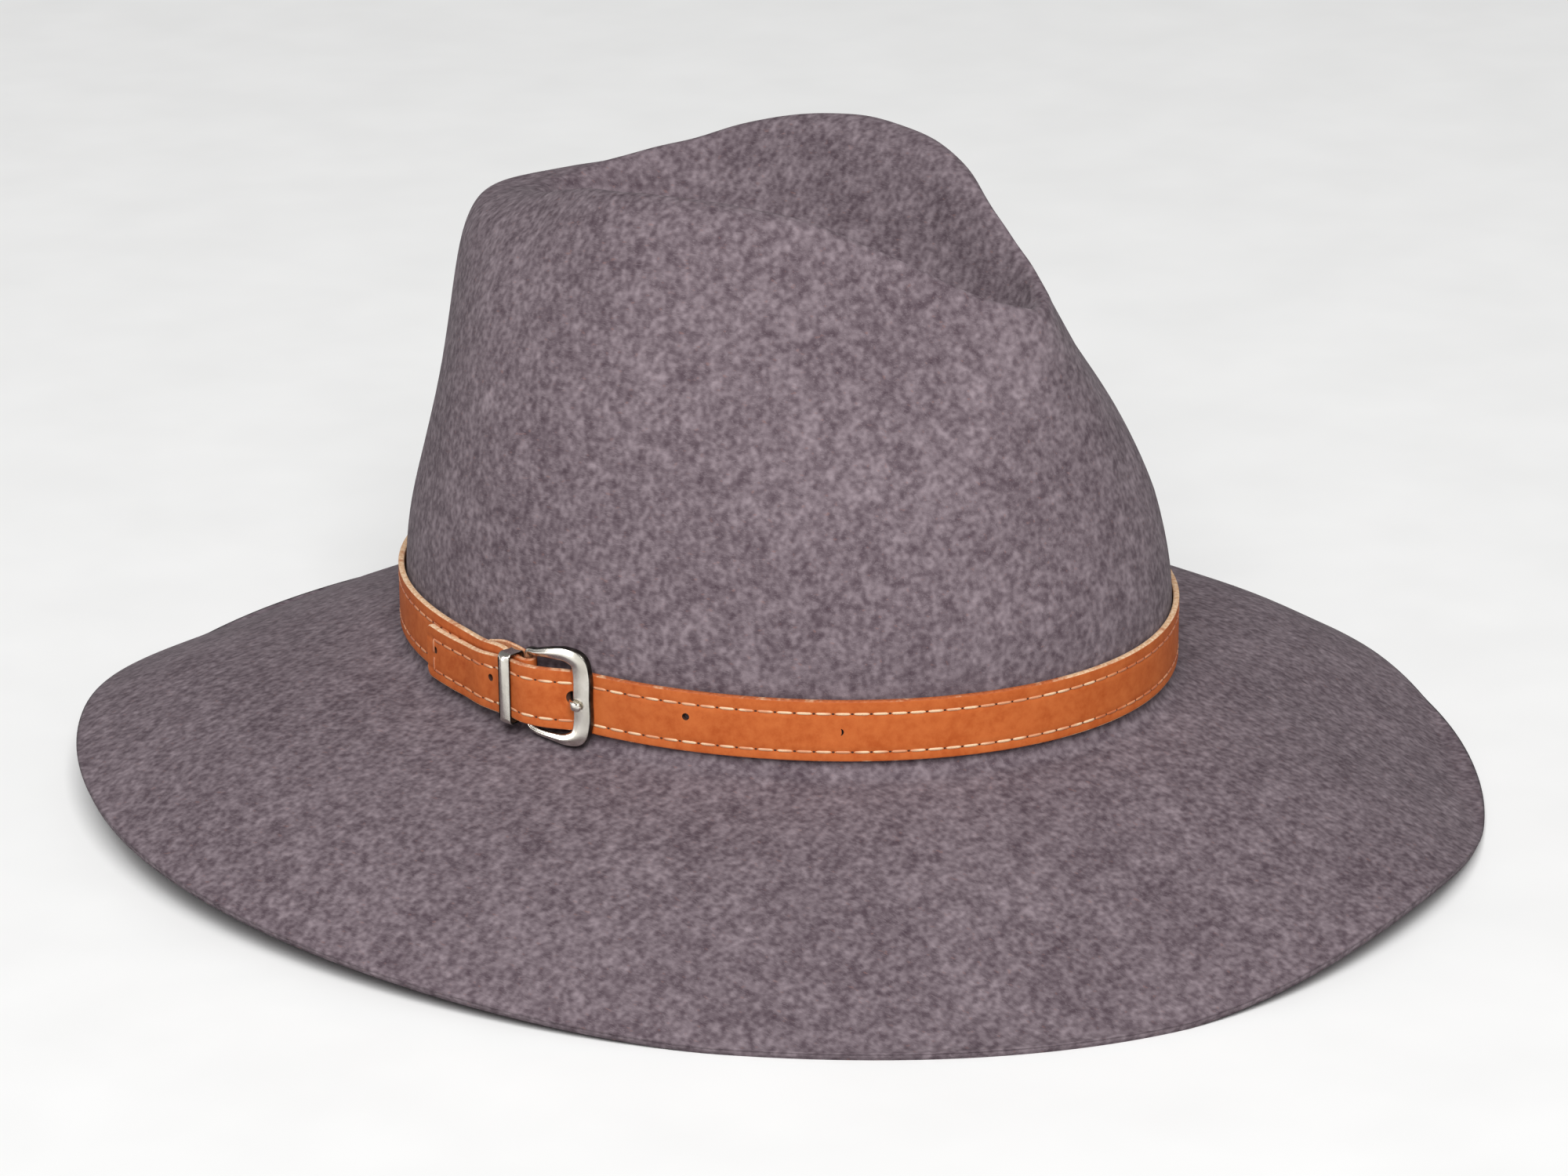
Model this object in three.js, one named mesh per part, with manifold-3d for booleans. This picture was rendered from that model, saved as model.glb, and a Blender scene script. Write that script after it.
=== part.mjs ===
// A felt hat with a teardrop crown, a drooping brim, and a leather strap with a buckle round the crown.
// Millimetres, +Z up. The hat rests on z = 0, its front is towards -Y and the wearer's left is towards +X.
// Angles round the hat are in degrees from the front, growing towards the wearer's left.

import * as THREE from 'three';
import { mergeVertices } from 'three/addons/utils/BufferGeometryUtils.js';
import Module from 'manifold-3d';

// Felt
const FELT_THICKNESS = 2;
const FOOT_HEIGHT = 34.6;
const HEAD_HALF_WIDTH = 84.2;
const HEAD_HALF_LENGTH = 100.6;
const HEAD_TAPER = 0.028;
const PINCH_ANGLE = 38;
const PINCH_SPREAD = 20;

// Strap, laid on a bed that is an oval just outside the felt
const BED_HALF_WIDTH = 85.05;
const BED_HALF_LENGTH = 101.35;
const STRAP_WIDTH = 15.5;
const STRAP_THICKNESS = 1.5;
const STRAP_BOTTOM = FOOT_HEIGHT + 3.45;
const STRAP_CENTRE = STRAP_BOTTOM + STRAP_WIDTH / 2;
const STRAP_LIFTS = [
  { angle: -122, spread: 22, height: 0.75 },
  { angle: 34, spread: 18, height: 0.6 },
];
const HOLE_RADIUS = 0.9;
const GAP = 0.3;

// Buckle, on the wearer's right, measured along the strap's bed from its hinge bar towards the front
const HINGE_ANGLE = -99.07;
const HINGE_OUT = 2.3;
const HINGE_RADIUS = 0.9;
const HINGE_GAP = 0.25;
const FOLD_THICKNESS = 1;
const FOLD_RAISE = 0.6;
const PRONG_THICKNESS = 1;
const PRONG_WIDTH = 2.4;
const KEEPER_ALONG = -4.1;
const KEEPER_WIDTH = 3.5;
const KEEPER_THICKNESS = 0.6;
const KEEPER_FACE_THICKNESS = 1.1;
const KEEPER_HALF_HEIGHT = 9.2;
const KEEPER_INNER_OUT = 1.15;
const KEEPER_OUTER_OUT = 7.2;
const KEEPER_CORNER = 1.9;
const KEEPER_INNER_CORNER = 0.7;

// Fineness of the meshes
const COLUMNS = 60;
const STRAP_STEP = 5;
const BAR_SIDES = 8;

// The brim's edge every 30 degrees from the front: how far it stands out from the crown, and how high its
// upper face lies. Where this would take the underside below the surface that it rests on, it is flattened.
const BRIM_EDGE = [
  { name: 'front', reach: 82.1, rise: 8.5 },
  { name: 'left of front', reach: 79, rise: -2 },
  { name: 'front of left', reach: 82.8, rise: 4.4 },
  { name: 'left', reach: 85, rise: 1.6 },
  { name: 'back of left', reach: 82.6, rise: 0.7 },
  { name: 'left of back', reach: 81.5, rise: 0.7 },
  { name: 'back', reach: 82.1, rise: 0.7 },
  { name: 'right of back', reach: 84.4, rise: 12 },
  { name: 'back of right', reach: 87, rise: 11.4 },
  { name: 'right', reach: 85, rise: 6.5 },
  { name: 'front of right', reach: 86, rise: 1.5 },
  { name: 'right of front', reach: 87.7, rise: 1.2 },
];

// Brim sections, from the edge inwards: share of the reach, share of the way up to the crown's foot, and how
// much the front stands higher (tilt), the left stands higher (side), and both ends stand higher (saddle).
const BRIM_ROWS = [
  { name: 'edge', out: 1, up: 0, tilt: 0, side: 0, saddle: 0 },
  { name: 'outer', out: 0.67, up: 0.47, tilt: -1.6, side: 1, saddle: -2.3 },
  { name: 'inner', out: 0.34, up: 0.74, tilt: 0, side: 0.3, saddle: -1.5 },
  { name: 'root', out: 0.05, up: 0.955, tilt: 0, side: 0, saddle: 0 },
];

// Crown sections, from the foot up and down again into the dent: oval, its shift to the back, its taper to
// the front, height above the foot, and how much the front rises (tilt), both ends rise (saddle), the front
// rises in a shorter wave (wave), the front's two pinches go in (pinch) and the four corners fill out (full).
const CROWN_ROWS = [
  { name: 'foot', halfWidth: 84.2, halfLength: 100.6, shift: 0, taper: 0.028, height: 0,
    tilt: 0, saddle: 0, wave: 0, pinch: 0, full: 0 },
  { name: 'strap bed', halfWidth: 84.8, halfLength: 100.9, shift: 0, taper: 0.028, height: 11,
    tilt: 0, saddle: 0, wave: 0, pinch: 0, full: 0 },
  { name: 'lower wall', halfWidth: 83.9, halfLength: 101.4, shift: -0.3, taper: 0.028, height: 31,
    tilt: 0, saddle: 0, wave: 0, pinch: 0, full: 0 },
  { name: 'middle wall', halfWidth: 75.4, halfLength: 89.5, shift: -0.8, taper: 0.072, height: 63,
    tilt: -3.6, saddle: 0, wave: 0, pinch: 0.031, full: 0.011 },
  { name: 'upper wall', halfWidth: 62.7, halfLength: 87.4, shift: 3.8, taper: 0.031, height: 93,
    tilt: -15.3, saddle: -1.7, wave: 0, pinch: 0.066, full: -0.041 },
  { name: 'shoulder', halfWidth: 50.9, halfLength: 79.8, shift: 3.2, taper: 0.17, height: 109.5,
    tilt: -5, saddle: -8.1, wave: -1.5, pinch: 0.076, full: -0.093 },
  { name: 'rim', halfWidth: 44.1, halfLength: 74.5, shift: -0.5, taper: 0.228, height: 116,
    tilt: -3.5, saddle: -10.7, wave: -0.7, pinch: 0, full: -0.099 },
  { name: 'rim edge', halfWidth: 37.3, halfLength: 70.5, shift: -0.5, taper: 0.228, height: 115.3,
    tilt: -3.5, saddle: -10.7, wave: -0.7, pinch: 0, full: -0.05 },
  { name: 'dent wall', halfWidth: 29.5, halfLength: 65, shift: -0.5, taper: 0.228, height: 107,
    tilt: -4, saddle: -9.5, wave: -0.7, pinch: 0, full: 0 },
  { name: 'dent foot', halfWidth: 17.5, halfLength: 56, shift: 0, taper: 0.22, height: 90,
    tilt: -6, saddle: -6, wave: 0, pinch: 0, full: 0 },
  { name: 'dent floor', halfWidth: 0, halfLength: 47, shift: 0, taper: 0, height: 88,
    tilt: -6, saddle: -3, wave: 0, pinch: 0, full: 0 },
];

// Where the felt's meshes are cut into rows, counted in sections from the brim's edge
const OUTER_CUTS = [
  { to: 0.1, rows: 1 },
  { to: 3, rows: 6 },
  { to: 5, rows: 6 },
  { to: 8, rows: 5 },
  { to: 12, rows: 13 },
  { to: 14, rows: 5 },
];
const INNER_CUTS = [
  { to: 0.1, rows: 1 },
  { to: 3, rows: 5 },
  { to: 5, rows: 4 },
  { to: 8, rows: 4 },
  { to: 12, rows: 9 },
  { to: 14, rows: 4 },
];

// The strap from its folded end to its free end: along the bed from the hinge bar, distance of the strap's
// middle from the bed, how far it lies above its usual height, its thickness, and its width where it narrows.
// First the end that is folded under the hinge bar.
const FOLD_UNDER = [
  { along: -15.4, out: 0.55, up: 0.2, thick: 0.7 },
  { along: -10, out: 0.55, up: 1.6, thick: 0.8 },
  { along: -3, out: 0.55, up: 1.2, thick: 0.8 },
];
// Back over the hinge bar and down to the bed
const FOLD_OVER = [
  { along: -1.2, out: 3.75, up: 0.6, thick: 1.1 },
  { along: -2.35, out: 3.35, up: 0.5, thick: 1.2 },
  { along: -4.1, out: 2.95, up: 0.5, thick: 1.3 },
  { along: -5.85, out: 2.75, up: 0.6, thick: 1.4 },
  { along: -8, out: 2.4, up: 1, thick: STRAP_THICKNESS },
  { along: -11, out: 2.1, up: 0.9, thick: STRAP_THICKNESS },
  { along: -15, out: 1.95, up: 0.5, thick: STRAP_THICKNESS },
  { along: -18, out: 1.5, up: 0.2, thick: STRAP_THICKNESS },
  { along: -22, out: 0.95, up: 0, thick: STRAP_THICKNESS },
  { along: -27, out: 0.75, up: 0, thick: STRAP_THICKNESS },
];
// Round the hat, then under the front bar, up over the hinge bar, through the keeper and on as the free end
const BED_START = -118;
const BED_END = -448;
const FREE_END = [
  { along: 18.9, out: 0.75, up: 0, width: 15.5 },
  { along: 16.7, out: 0.75, up: 0, width: 15.5 },
  { along: 14.6, out: 0.8, up: 0, width: 15.5 },
  { along: 12.7, out: 1.6, up: 0, width: 15.5 },
  { along: 10.7, out: 2.6, up: 0.1, width: 15.5 },
  { along: 8.1, out: 3.8, up: 0.1, width: 15.5 },
  { along: 5.4, out: 4.75, up: 0.1, width: 15.4 },
  { along: 2.5, out: 5.35, up: 0.1, width: 15.3 },
  { along: 0, out: 5.45, up: 0.1, width: 15.2 },
  { along: -2.35, out: 4.95, up: 0, width: 15.1 },
  { along: -4.1, out: 4.65, up: -0.1, width: 15.1 },
  { along: -5.85, out: 4.5, up: -0.3, width: 15 },
  { along: -8, out: 4.2, up: -0.5, width: 14.9 },
  { along: -11, out: 3.9, up: -0.85, width: 14.7 },
  { along: -15, out: 3.75, up: -1.2, width: 14.4 },
  { along: -18, out: 3.3, up: -1.45, width: 14.2 },
  { along: -22, out: 2.75, up: -1.65, width: 14 },
  { along: -27, out: 2.55, up: -1.85, width: 13.9 },
  { along: -34, out: 2.55, up: -1.95, width: 13.8 },
  { along: -41, out: 2.55, up: -1.95, width: 13.8 },
];

// Punched holes: angle, distance from the bed of the strap there, and height from the strap's middle
const STRAP_HOLES = [
  { name: 'end of tail', angle: -119.7, out: 2.55, up: -0.9 },
  { name: 'beside keeper', angle: -105.1, out: 3.9, up: 0.5 },
  { name: 'first spare', angle: -74.57, out: 0.75, up: 1.2 },
  { name: 'second spare', angle: -53.1, out: 0.75, up: -0.1 },
];

// The buckle's frame, from the middle of its hinge bar over the top to its front bar and back below: along
// the strap, up from the strap's middle, distance from the bed, and the bar's width and thickness
const FRAME_ROUTE = [
  { along: 0, up: 0, out: HINGE_OUT, width: 2 * HINGE_RADIUS, thick: 2 * HINGE_RADIUS },
  { along: 0, up: 6, out: HINGE_OUT, width: 2 * HINGE_RADIUS, thick: 2 * HINGE_RADIUS },
  { along: 0, up: 9, out: HINGE_OUT, width: 2 * HINGE_RADIUS, thick: 2 * HINGE_RADIUS },
  { along: 0.8, up: 10.1, out: 2.6, width: 1.8, thick: 1.9 },
  { along: 3.5, up: 10.6, out: 3, width: 2, thick: 2 },
  { along: 8.2, up: 11.65, out: 3.3, width: 2.9, thick: 2.1 },
  { along: 12.6, up: 12.2, out: 3.35, width: 3.6, thick: 2.2 },
  { along: 15.9, up: 11.1, out: 3.2, width: 4.6, thick: 2.3 },
  { along: 16.7, up: 8, out: 3, width: 4.8, thick: 2.3 },
  { along: 16.7, up: 1.5, out: 2.95, width: 4.8, thick: 2.3 },
  { along: 16.7, up: -4.5, out: 3, width: 4.8, thick: 2.3 },
  { along: 15.8, up: -8.1, out: 3.25, width: 4.4, thick: 2.3 },
  { along: 12.4, up: -9.7, out: 3.4, width: 3, thick: 2.2 },
  { along: 7.6, up: -9.85, out: 3.3, width: 2.1, thick: 2.1 },
  { along: 3.5, up: -9.8, out: 3, width: 1.9, thick: 2 },
  { along: 0.8, up: -9.3, out: 2.6, width: 1.8, thick: 1.9 },
  { along: 0, up: -8.3, out: HINGE_OUT, width: 2 * HINGE_RADIUS, thick: 2 * HINGE_RADIUS },
  { along: 0, up: -5, out: HINGE_OUT, width: 2 * HINGE_RADIUS, thick: 2 * HINGE_RADIUS },
];

// The prong after its turn round the hinge bar: under the strap, up through it and over the front bar
const PRONG_ARM = [
  { along: 2, out: 0.75 },
  { along: 6, out: 0.85 },
  { along: 10.4, out: 0.9 },
  { along: 11.7, out: 1.1 },
  { along: 12.6, out: 1.7 },
  { along: 13.4, out: 2.9 },
  { along: 14.2, out: 4.2 },
  { along: 15.2, out: 4.85 },
  { along: 17.3, out: 4.8 },
];
const PRONG_HOLE = { from: 10.8, to: 14 };
const FOLD_SLOT = { from: -2.6, to: 2.9 };
const SLOT_HALF_HEIGHT = PRONG_WIDTH / 2 + GAP;

const wasm = await Module();
wasm.setup();

const radians = THREE.MathUtils.degToRad;

// Uniform cubic B-spline weights of four neighbours, t being the way from the second to the third
function splineWeights(t) {
  return [
    (1 - t) ** 3 / 6,
    (3 * t ** 3 - 6 * t ** 2 + 4) / 6,
    (-3 * t ** 3 + 3 * t ** 2 + 3 * t + 1) / 6,
    t ** 3 / 6,
  ];
}

// A column of the brim's edge table at any angle, by a curve through its stations
function brimEdge(column, angle) {
  const count = BRIM_EDGE.length;
  const place = THREE.MathUtils.euclideanModulo(angle, 360) * count / 360;
  const first = Math.floor(place);
  const t = place - first;
  const [a, b, c, d] = [-1, 0, 1, 2].map((step) => BRIM_EDGE[(first + step + count) % count][column]);
  return b + 0.5 * t * (c - a + t * (2 * a - 5 * b + 4 * c - d + t * (3 * (b - c) + d - a)));
}

function brimPoint(row, angle) {
  const turn = radians(angle);
  const x = HEAD_HALF_WIDTH * Math.sin(turn) * (1 - HEAD_TAPER * Math.cos(turn));
  const y = -HEAD_HALF_LENGTH * Math.cos(turn);
  const outward = new THREE.Vector2(Math.sin(turn) * HEAD_HALF_LENGTH, -Math.cos(turn) * HEAD_HALF_WIDTH);
  outward.normalize().multiplyScalar(brimEdge('reach', angle) * row.out);
  const rise = brimEdge('rise', angle);
  const lean = row.tilt * Math.cos(turn) + row.side * Math.sin(turn) + row.saddle * Math.cos(2 * turn);
  const z = rise + (FOOT_HEIGHT - rise) * row.up + lean;
  return new THREE.Vector3(x + outward.x, y + outward.y, z);
}

function crownPoint(row, angle) {
  const turn = radians(angle);
  const sine = Math.sin(turn);
  const cosine = Math.cos(turn);
  const fromFront = Math.abs(THREE.MathUtils.euclideanModulo(angle + 180, 360) - 180);
  const off = (fromFront - PINCH_ANGLE) / PINCH_SPREAD;
  const pinch = 1 - row.pinch * Math.exp(-off * off);
  const fill = 1 + row.full * Math.sin(2 * turn) ** 2;
  const x = row.halfWidth * sine * (1 - row.taper * cosine) * pinch * fill;
  const y = row.shift - row.halfLength * cosine * fill;
  const lift = row.tilt * cosine + row.saddle * Math.cos(2 * turn) + row.wave * Math.cos(3 * turn);
  return new THREE.Vector3(x, y, FOOT_HEIGHT + row.height + lift);
}

// A point of the felt's upper face: angle, and place counted in sections from the brim's edge
function feltPoint(angle, place) {
  const sections = BRIM_ROWS.length + CROWN_ROWS.length;
  const section = (index) => (index < BRIM_ROWS.length
    ? brimPoint(BRIM_ROWS[index], angle)
    : crownPoint(CROWN_ROWS[index - BRIM_ROWS.length], angle));
  const control = (index) => {
    if (index < 0) return section(0).multiplyScalar(2).sub(section(1));
    if (index >= sections) return section(sections - 1).multiplyScalar(2).sub(section(sections - 2));
    return section(index);
  };
  const first = Math.min(Math.floor(place), sections - 2);
  const point = new THREE.Vector3();
  splineWeights(place - first).forEach((weight, step) => {
    point.addScaledVector(control(first - 1 + step), weight);
  });
  return point;
}

function feltNormal(angle, place) {
  const last = BRIM_ROWS.length + CROWN_ROWS.length - 1;
  const turnStep = 0.5;
  const placeStep = 0.01;
  const low = Math.max(place - placeStep, 0);
  const high = Math.min(place + placeStep, last);
  const round = feltPoint(angle + turnStep, place).sub(feltPoint(angle - turnStep, place));
  const up = feltPoint(angle, high).sub(feltPoint(angle, low));
  const normal = round.cross(up);
  if (place === last) {
    // The two sides of the dent meet here in one crease, whose normal lies in the hat's middle plane
    const beside = feltPoint(angle, last - placeStep).sub(feltPoint(angle, last));
    normal.crossVectors(beside, round);
    if (normal.z < 0) normal.negate();
    normal.x = 0;
    if (normal.lengthSq() < 1e-12) normal.set(0, 0, 1);
  }
  return normal.normalize();
}

// Upper and lower point of the felt. Where it would sink into the surface that it rests on, it is flattened.
function feltPair(angle, place) {
  const upper = feltPoint(angle, place);
  const lower = upper.clone().addScaledVector(feltNormal(angle, place), -FELT_THICKNESS);
  const sunk = Math.max(-lower.z, 0);
  upper.z += sunk;
  lower.z += sunk;
  return { upper, lower };
}

function cutPlaces(cuts) {
  const places = [0];
  for (const cut of cuts) {
    const from = places[places.length - 1];
    for (let row = 1; row <= cut.rows; row++) places.push(from + (cut.to - from) * row / cut.rows);
  }
  return places;
}

// A mesh from rows of points, each row closed in itself. A closed mesh joins its last row to its first.
function meshOfRows(rows, { closed = false, capped = false } = {}) {
  const positions = [];
  const triangle = (...corners) => corners.forEach((corner) => positions.push(corner.x, corner.y, corner.z));
  const rowCount = closed ? rows.length : rows.length - 1;
  for (let i = 0; i < rowCount; i++) {
    const here = rows[i];
    const next = rows[(i + 1) % rows.length];
    for (let j = 0; j < here.length; j++) {
      const k = (j + 1) % here.length;
      triangle(here[j], here[k], next[k]);
      triangle(here[j], next[k], next[j]);
    }
  }
  if (capped) {
    const first = rows[0];
    const last = rows[rows.length - 1];
    for (let j = 1; j < first.length - 1; j++) {
      triangle(first[0], first[j + 1], first[j]);
      triangle(last[0], last[j], last[j + 1]);
    }
  }
  return positions;
}

function signedVolume(positions) {
  const [a, b, c] = [new THREE.Vector3(), new THREE.Vector3(), new THREE.Vector3()];
  let volume = 0;
  for (let i = 0; i < positions.length; i += 9) {
    a.fromArray(positions, i);
    b.fromArray(positions, i + 3);
    c.fromArray(positions, i + 6);
    volume += a.dot(b.cross(c)) / 6;
  }
  return volume;
}

// A geometry with shared vertices whose faces point out
function solidGeometry(positions) {
  const geometry = new THREE.BufferGeometry();
  const outward = [...positions];
  if (signedVolume(positions) < 0) {
    for (let i = 0; i < outward.length; i += 9) {
      for (let k = 0; k < 3; k++) {
        [outward[i + 3 + k], outward[i + 6 + k]] = [outward[i + 6 + k], outward[i + 3 + k]];
      }
    }
  }
  geometry.setAttribute('position', new THREE.Float32BufferAttribute(outward, 3));
  return mergeVertices(geometry, 1e-4);
}

function toSolid(geometry) {
  return new wasm.Manifold(new wasm.Mesh({
    numProp: 3,
    vertProperties: geometry.attributes.position.array,
    triVerts: Uint32Array.from(geometry.index.array),
  }));
}

function fromSolid(solid) {
  const mesh = solid.getMesh();
  const geometry = new THREE.BufferGeometry();
  geometry.setAttribute('position', new THREE.Float32BufferAttribute(mesh.vertProperties, 3));
  geometry.setIndex(new THREE.Uint32BufferAttribute(mesh.triVerts, 1));
  return geometry;
}

// Crown and brim, one felt wall with the head's hollow below it
function feltGeometry() {
  const angles = Array.from({ length: COLUMNS }, (_, column) => column * 360 / COLUMNS);
  const rowAt = (place, face) => angles.map((angle) => feltPair(angle, place)[face]);
  const rowsOf = (cuts, face) => cutPlaces(cuts).map((place) => rowAt(place, face));
  const outer = rowsOf(OUTER_CUTS, 'upper');
  const inner = rowsOf(INNER_CUTS, 'lower');
  return solidGeometry([
    ...meshOfRows(outer),
    ...meshOfRows([...inner].reverse()),
    ...meshOfRows([inner[0], outer[0]]),
  ]);
}

// How much higher than its usual place the strap sits at an angle, where it has crept up the crown
function strapLift(angle) {
  let total = 0;
  for (const lift of STRAP_LIFTS) {
    const off = (THREE.MathUtils.euclideanModulo(angle - lift.angle + 180, 360) - 180) / lift.spread;
    total += lift.height * Math.exp(-off * off);
  }
  return total;
}

// A point in the strap's own frame: angle round the hat, distance out from the bed, height from its middle
function bedPoint(angle, out, up) {
  const turn = radians(angle);
  const sine = Math.sin(turn);
  const cosine = Math.cos(turn);
  const x = BED_HALF_WIDTH * sine * (1 - HEAD_TAPER * cosine);
  const y = -BED_HALF_LENGTH * cosine;
  const alongX = BED_HALF_WIDTH * (cosine - HEAD_TAPER * Math.cos(2 * turn));
  const alongY = BED_HALF_LENGTH * sine;
  const length = Math.hypot(alongX, alongY);
  const z = STRAP_CENTRE + strapLift(angle) + up;
  return new THREE.Vector3(x + out * alongY / length, y - out * alongX / length, z);
}

// Millimetres along the bed for one degree, at the buckle
const ALONG_PER_DEGREE = bedPoint(HINGE_ANGLE - 0.5, 0, 0).distanceTo(bedPoint(HINGE_ANGLE + 0.5, 0, 0));

function angleAt(along) {
  return HINGE_ANGLE + along / ALONG_PER_DEGREE;
}

// The strap's path: angles keep falling all the way, so that the free end comes a full turn after the fold
function strapStations() {
  const foldMiddle = HINGE_RADIUS + HINGE_GAP + FOLD_THICKNESS / 2;
  const turnSteps = 6;
  const stations = FOLD_UNDER.map((row) => ({ ...row, angle: angleAt(row.along) }));
  for (let step = 0; step <= turnSteps; step++) {
    const turn = Math.PI * step / turnSteps;
    stations.push({
      angle: angleAt(foldMiddle * Math.sin(turn)),
      out: HINGE_OUT - foldMiddle * Math.cos(turn),
      up: FOLD_RAISE,
      thick: FOLD_THICKNESS,
    });
  }
  stations.push(...FOLD_OVER.map((row) => ({ ...row, angle: angleAt(row.along) })));
  const bedSteps = Math.round((BED_START - BED_END) / STRAP_STEP);
  for (let step = 0; step <= bedSteps; step++) {
    const angle = BED_START + (BED_END - BED_START) * step / bedSteps;
    stations.push({ angle, out: STRAP_THICKNESS / 2, thick: STRAP_THICKNESS });
  }
  for (const row of FREE_END) {
    stations.push({ ...row, angle: angleAt(row.along) - 360, thick: STRAP_THICKNESS });
  }
  return stations;
}

// A box that follows the bed, for cutting through the strap
function bedBox({ from, to }, outLow, outHigh, halfHeight) {
  const steps = 3;
  const rows = [];
  for (let step = 0; step <= steps; step++) {
    const angle = angleAt(from + (to - from) * step / steps);
    rows.push([[outLow, -1], [outHigh, -1], [outHigh, 1], [outLow, 1]]
      .map(([out, side]) => bedPoint(angle, out, side * halfHeight)));
  }
  return toSolid(solidGeometry(meshOfRows(rows, { capped: true })));
}

function holeCutter(hole) {
  const reach = STRAP_THICKNESS / 2 + GAP / 2;
  const sides = 12;
  const rows = [-reach, reach].map((offset) => Array.from({ length: sides }, (_, side) => {
    const turn = 2 * Math.PI * side / sides;
    const along = HOLE_RADIUS * Math.cos(turn) / ALONG_PER_DEGREE;
    return bedPoint(hole.angle + along, hole.out + offset, hole.up + HOLE_RADIUS * Math.sin(turn));
  }));
  return toSolid(solidGeometry(meshOfRows(rows, { capped: true })));
}

function strapGeometry() {
  const stations = strapStations();
  const middles = stations.map((station) => bedPoint(station.angle, station.out, 0));
  const rows = stations.map((station, index) => {
    const before = middles[Math.max(index - 1, 0)];
    const after = middles[Math.min(index + 1, middles.length - 1)];
    const along = after.clone().sub(before).normalize();
    const across = new THREE.Vector3(along.y, -along.x, 0).multiplyScalar(station.thick / 2);
    return [[-1, -1], [1, -1], [1, 1], [-1, 1]].map(([side, level]) => {
      const corner = middles[index].clone().addScaledVector(across, side);
      corner.z += level * (station.width ?? STRAP_WIDTH) / 2 + (station.up ?? 0);
      return corner;
    });
  });
  let strap = toSolid(solidGeometry(meshOfRows(rows, { capped: true })));
  for (const hole of STRAP_HOLES) strap = strap.subtract(holeCutter(hole));
  const overLow = 0;
  const overHigh = 3.6;
  strap = strap.subtract(bedBox(PRONG_HOLE, overLow, overHigh, SLOT_HALF_HEIGHT));
  const foldLow = -0.1;
  const foldHigh = 4.55;
  strap = strap.subtract(bedBox(FOLD_SLOT, foldLow, foldHigh, SLOT_HALF_HEIGHT));
  return fromSolid(strap);
}

function frameGeometry() {
  const corners = FRAME_ROUTE.map((row) => new THREE.Vector3(row.along, row.up, row.out));
  const route = new THREE.CatmullRomCurve3(corners, true, 'centripetal');
  const steps = 3 * FRAME_ROUTE.length;
  const rows = [];
  for (let step = 0; step < steps; step++) {
    const t = step / steps;
    const middle = route.getPoint(t);
    const tangent = route.getTangent(t);
    const place = t * FRAME_ROUTE.length;
    const from = FRAME_ROUTE[Math.floor(place) % FRAME_ROUTE.length];
    const to = FRAME_ROUTE[Math.ceil(place) % FRAME_ROUTE.length];
    const width = THREE.MathUtils.lerp(from.width, to.width, place % 1);
    const thick = THREE.MathUtils.lerp(from.thick, to.thick, place % 1);
    const side = new THREE.Vector2(tangent.y, -tangent.x).normalize();
    rows.push(Array.from({ length: BAR_SIDES }, (_, corner) => {
      const turn = 2 * Math.PI * (corner + 0.5) / BAR_SIDES;
      const across = Math.cos(turn) * width / 2;
      const out = middle.z + Math.sin(turn) * thick / 2;
      return bedPoint(angleAt(middle.x + side.x * across), out, middle.y + side.y * across);
    }));
  }
  return solidGeometry(meshOfRows(rows, { closed: true }));
}

function prongGeometry() {
  const ringMiddle = HINGE_RADIUS + HINGE_GAP + PRONG_THICKNESS / 2;
  const ringSteps = 10;
  const ringTurn = 300;
  const route = [];
  for (let step = 0; step <= ringSteps; step++) {
    const turn = radians(-90 - ringTurn * (1 - step / ringSteps));
    route.push({
      along: ringMiddle * Math.cos(-turn),
      out: HINGE_OUT - ringMiddle * Math.sin(-turn),
    });
  }
  route.push(...PRONG_ARM);
  const rows = route.map((point, index) => {
    const before = route[Math.max(index - 1, 0)];
    const after = route[Math.min(index + 1, route.length - 1)];
    const along = new THREE.Vector2(after.along - before.along, after.out - before.out).normalize();
    const half = PRONG_THICKNESS / 2;
    return [[-1, -1], [1, -1], [1, 1], [-1, 1]].map(([side, level]) => bedPoint(
      angleAt(point.along + along.y * half * side),
      point.out - along.x * half * side,
      level * PRONG_WIDTH / 2,
    ));
  });
  return solidGeometry(meshOfRows(rows, { capped: true }));
}

// The keeper, a flat metal loop between the two layers of the fold and over the strap's free end
function keeperGeometry() {
  const cornerSteps = 4;
  const loop = (innerOut, outerOut, halfHeight, cornerRadius) => {
    const points = [];
    const corners = [
      [outerOut, -1, 1, 0],
      [innerOut, 1, 1, 90],
      [innerOut, 1, -1, 180],
      [outerOut, -1, -1, 270],
    ];
    for (const [face, inward, side, start] of corners) {
      for (let step = 0; step <= cornerSteps; step++) {
        const turn = radians(start + 90 * step / cornerSteps);
        points.push({
          out: face + inward * cornerRadius + cornerRadius * Math.cos(turn),
          up: side * (halfHeight - cornerRadius) + cornerRadius * Math.sin(turn),
        });
      }
    }
    return points;
  };
  const outside = loop(KEEPER_INNER_OUT, KEEPER_OUTER_OUT, KEEPER_HALF_HEIGHT, KEEPER_CORNER);
  const inside = loop(
    KEEPER_INNER_OUT + KEEPER_THICKNESS,
    KEEPER_OUTER_OUT - KEEPER_FACE_THICKNESS,
    KEEPER_HALF_HEIGHT - KEEPER_THICKNESS,
    KEEPER_INNER_CORNER,
  );
  const half = KEEPER_WIDTH / 2;
  const edge = (points, along) => points.map((point) => bedPoint(
    angleAt(KEEPER_ALONG + along), point.out, point.up));
  const rows = [edge(outside, -half), edge(outside, half), edge(inside, half), edge(inside, -half)];
  return solidGeometry(meshOfRows(rows, { closed: true }));
}

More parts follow.
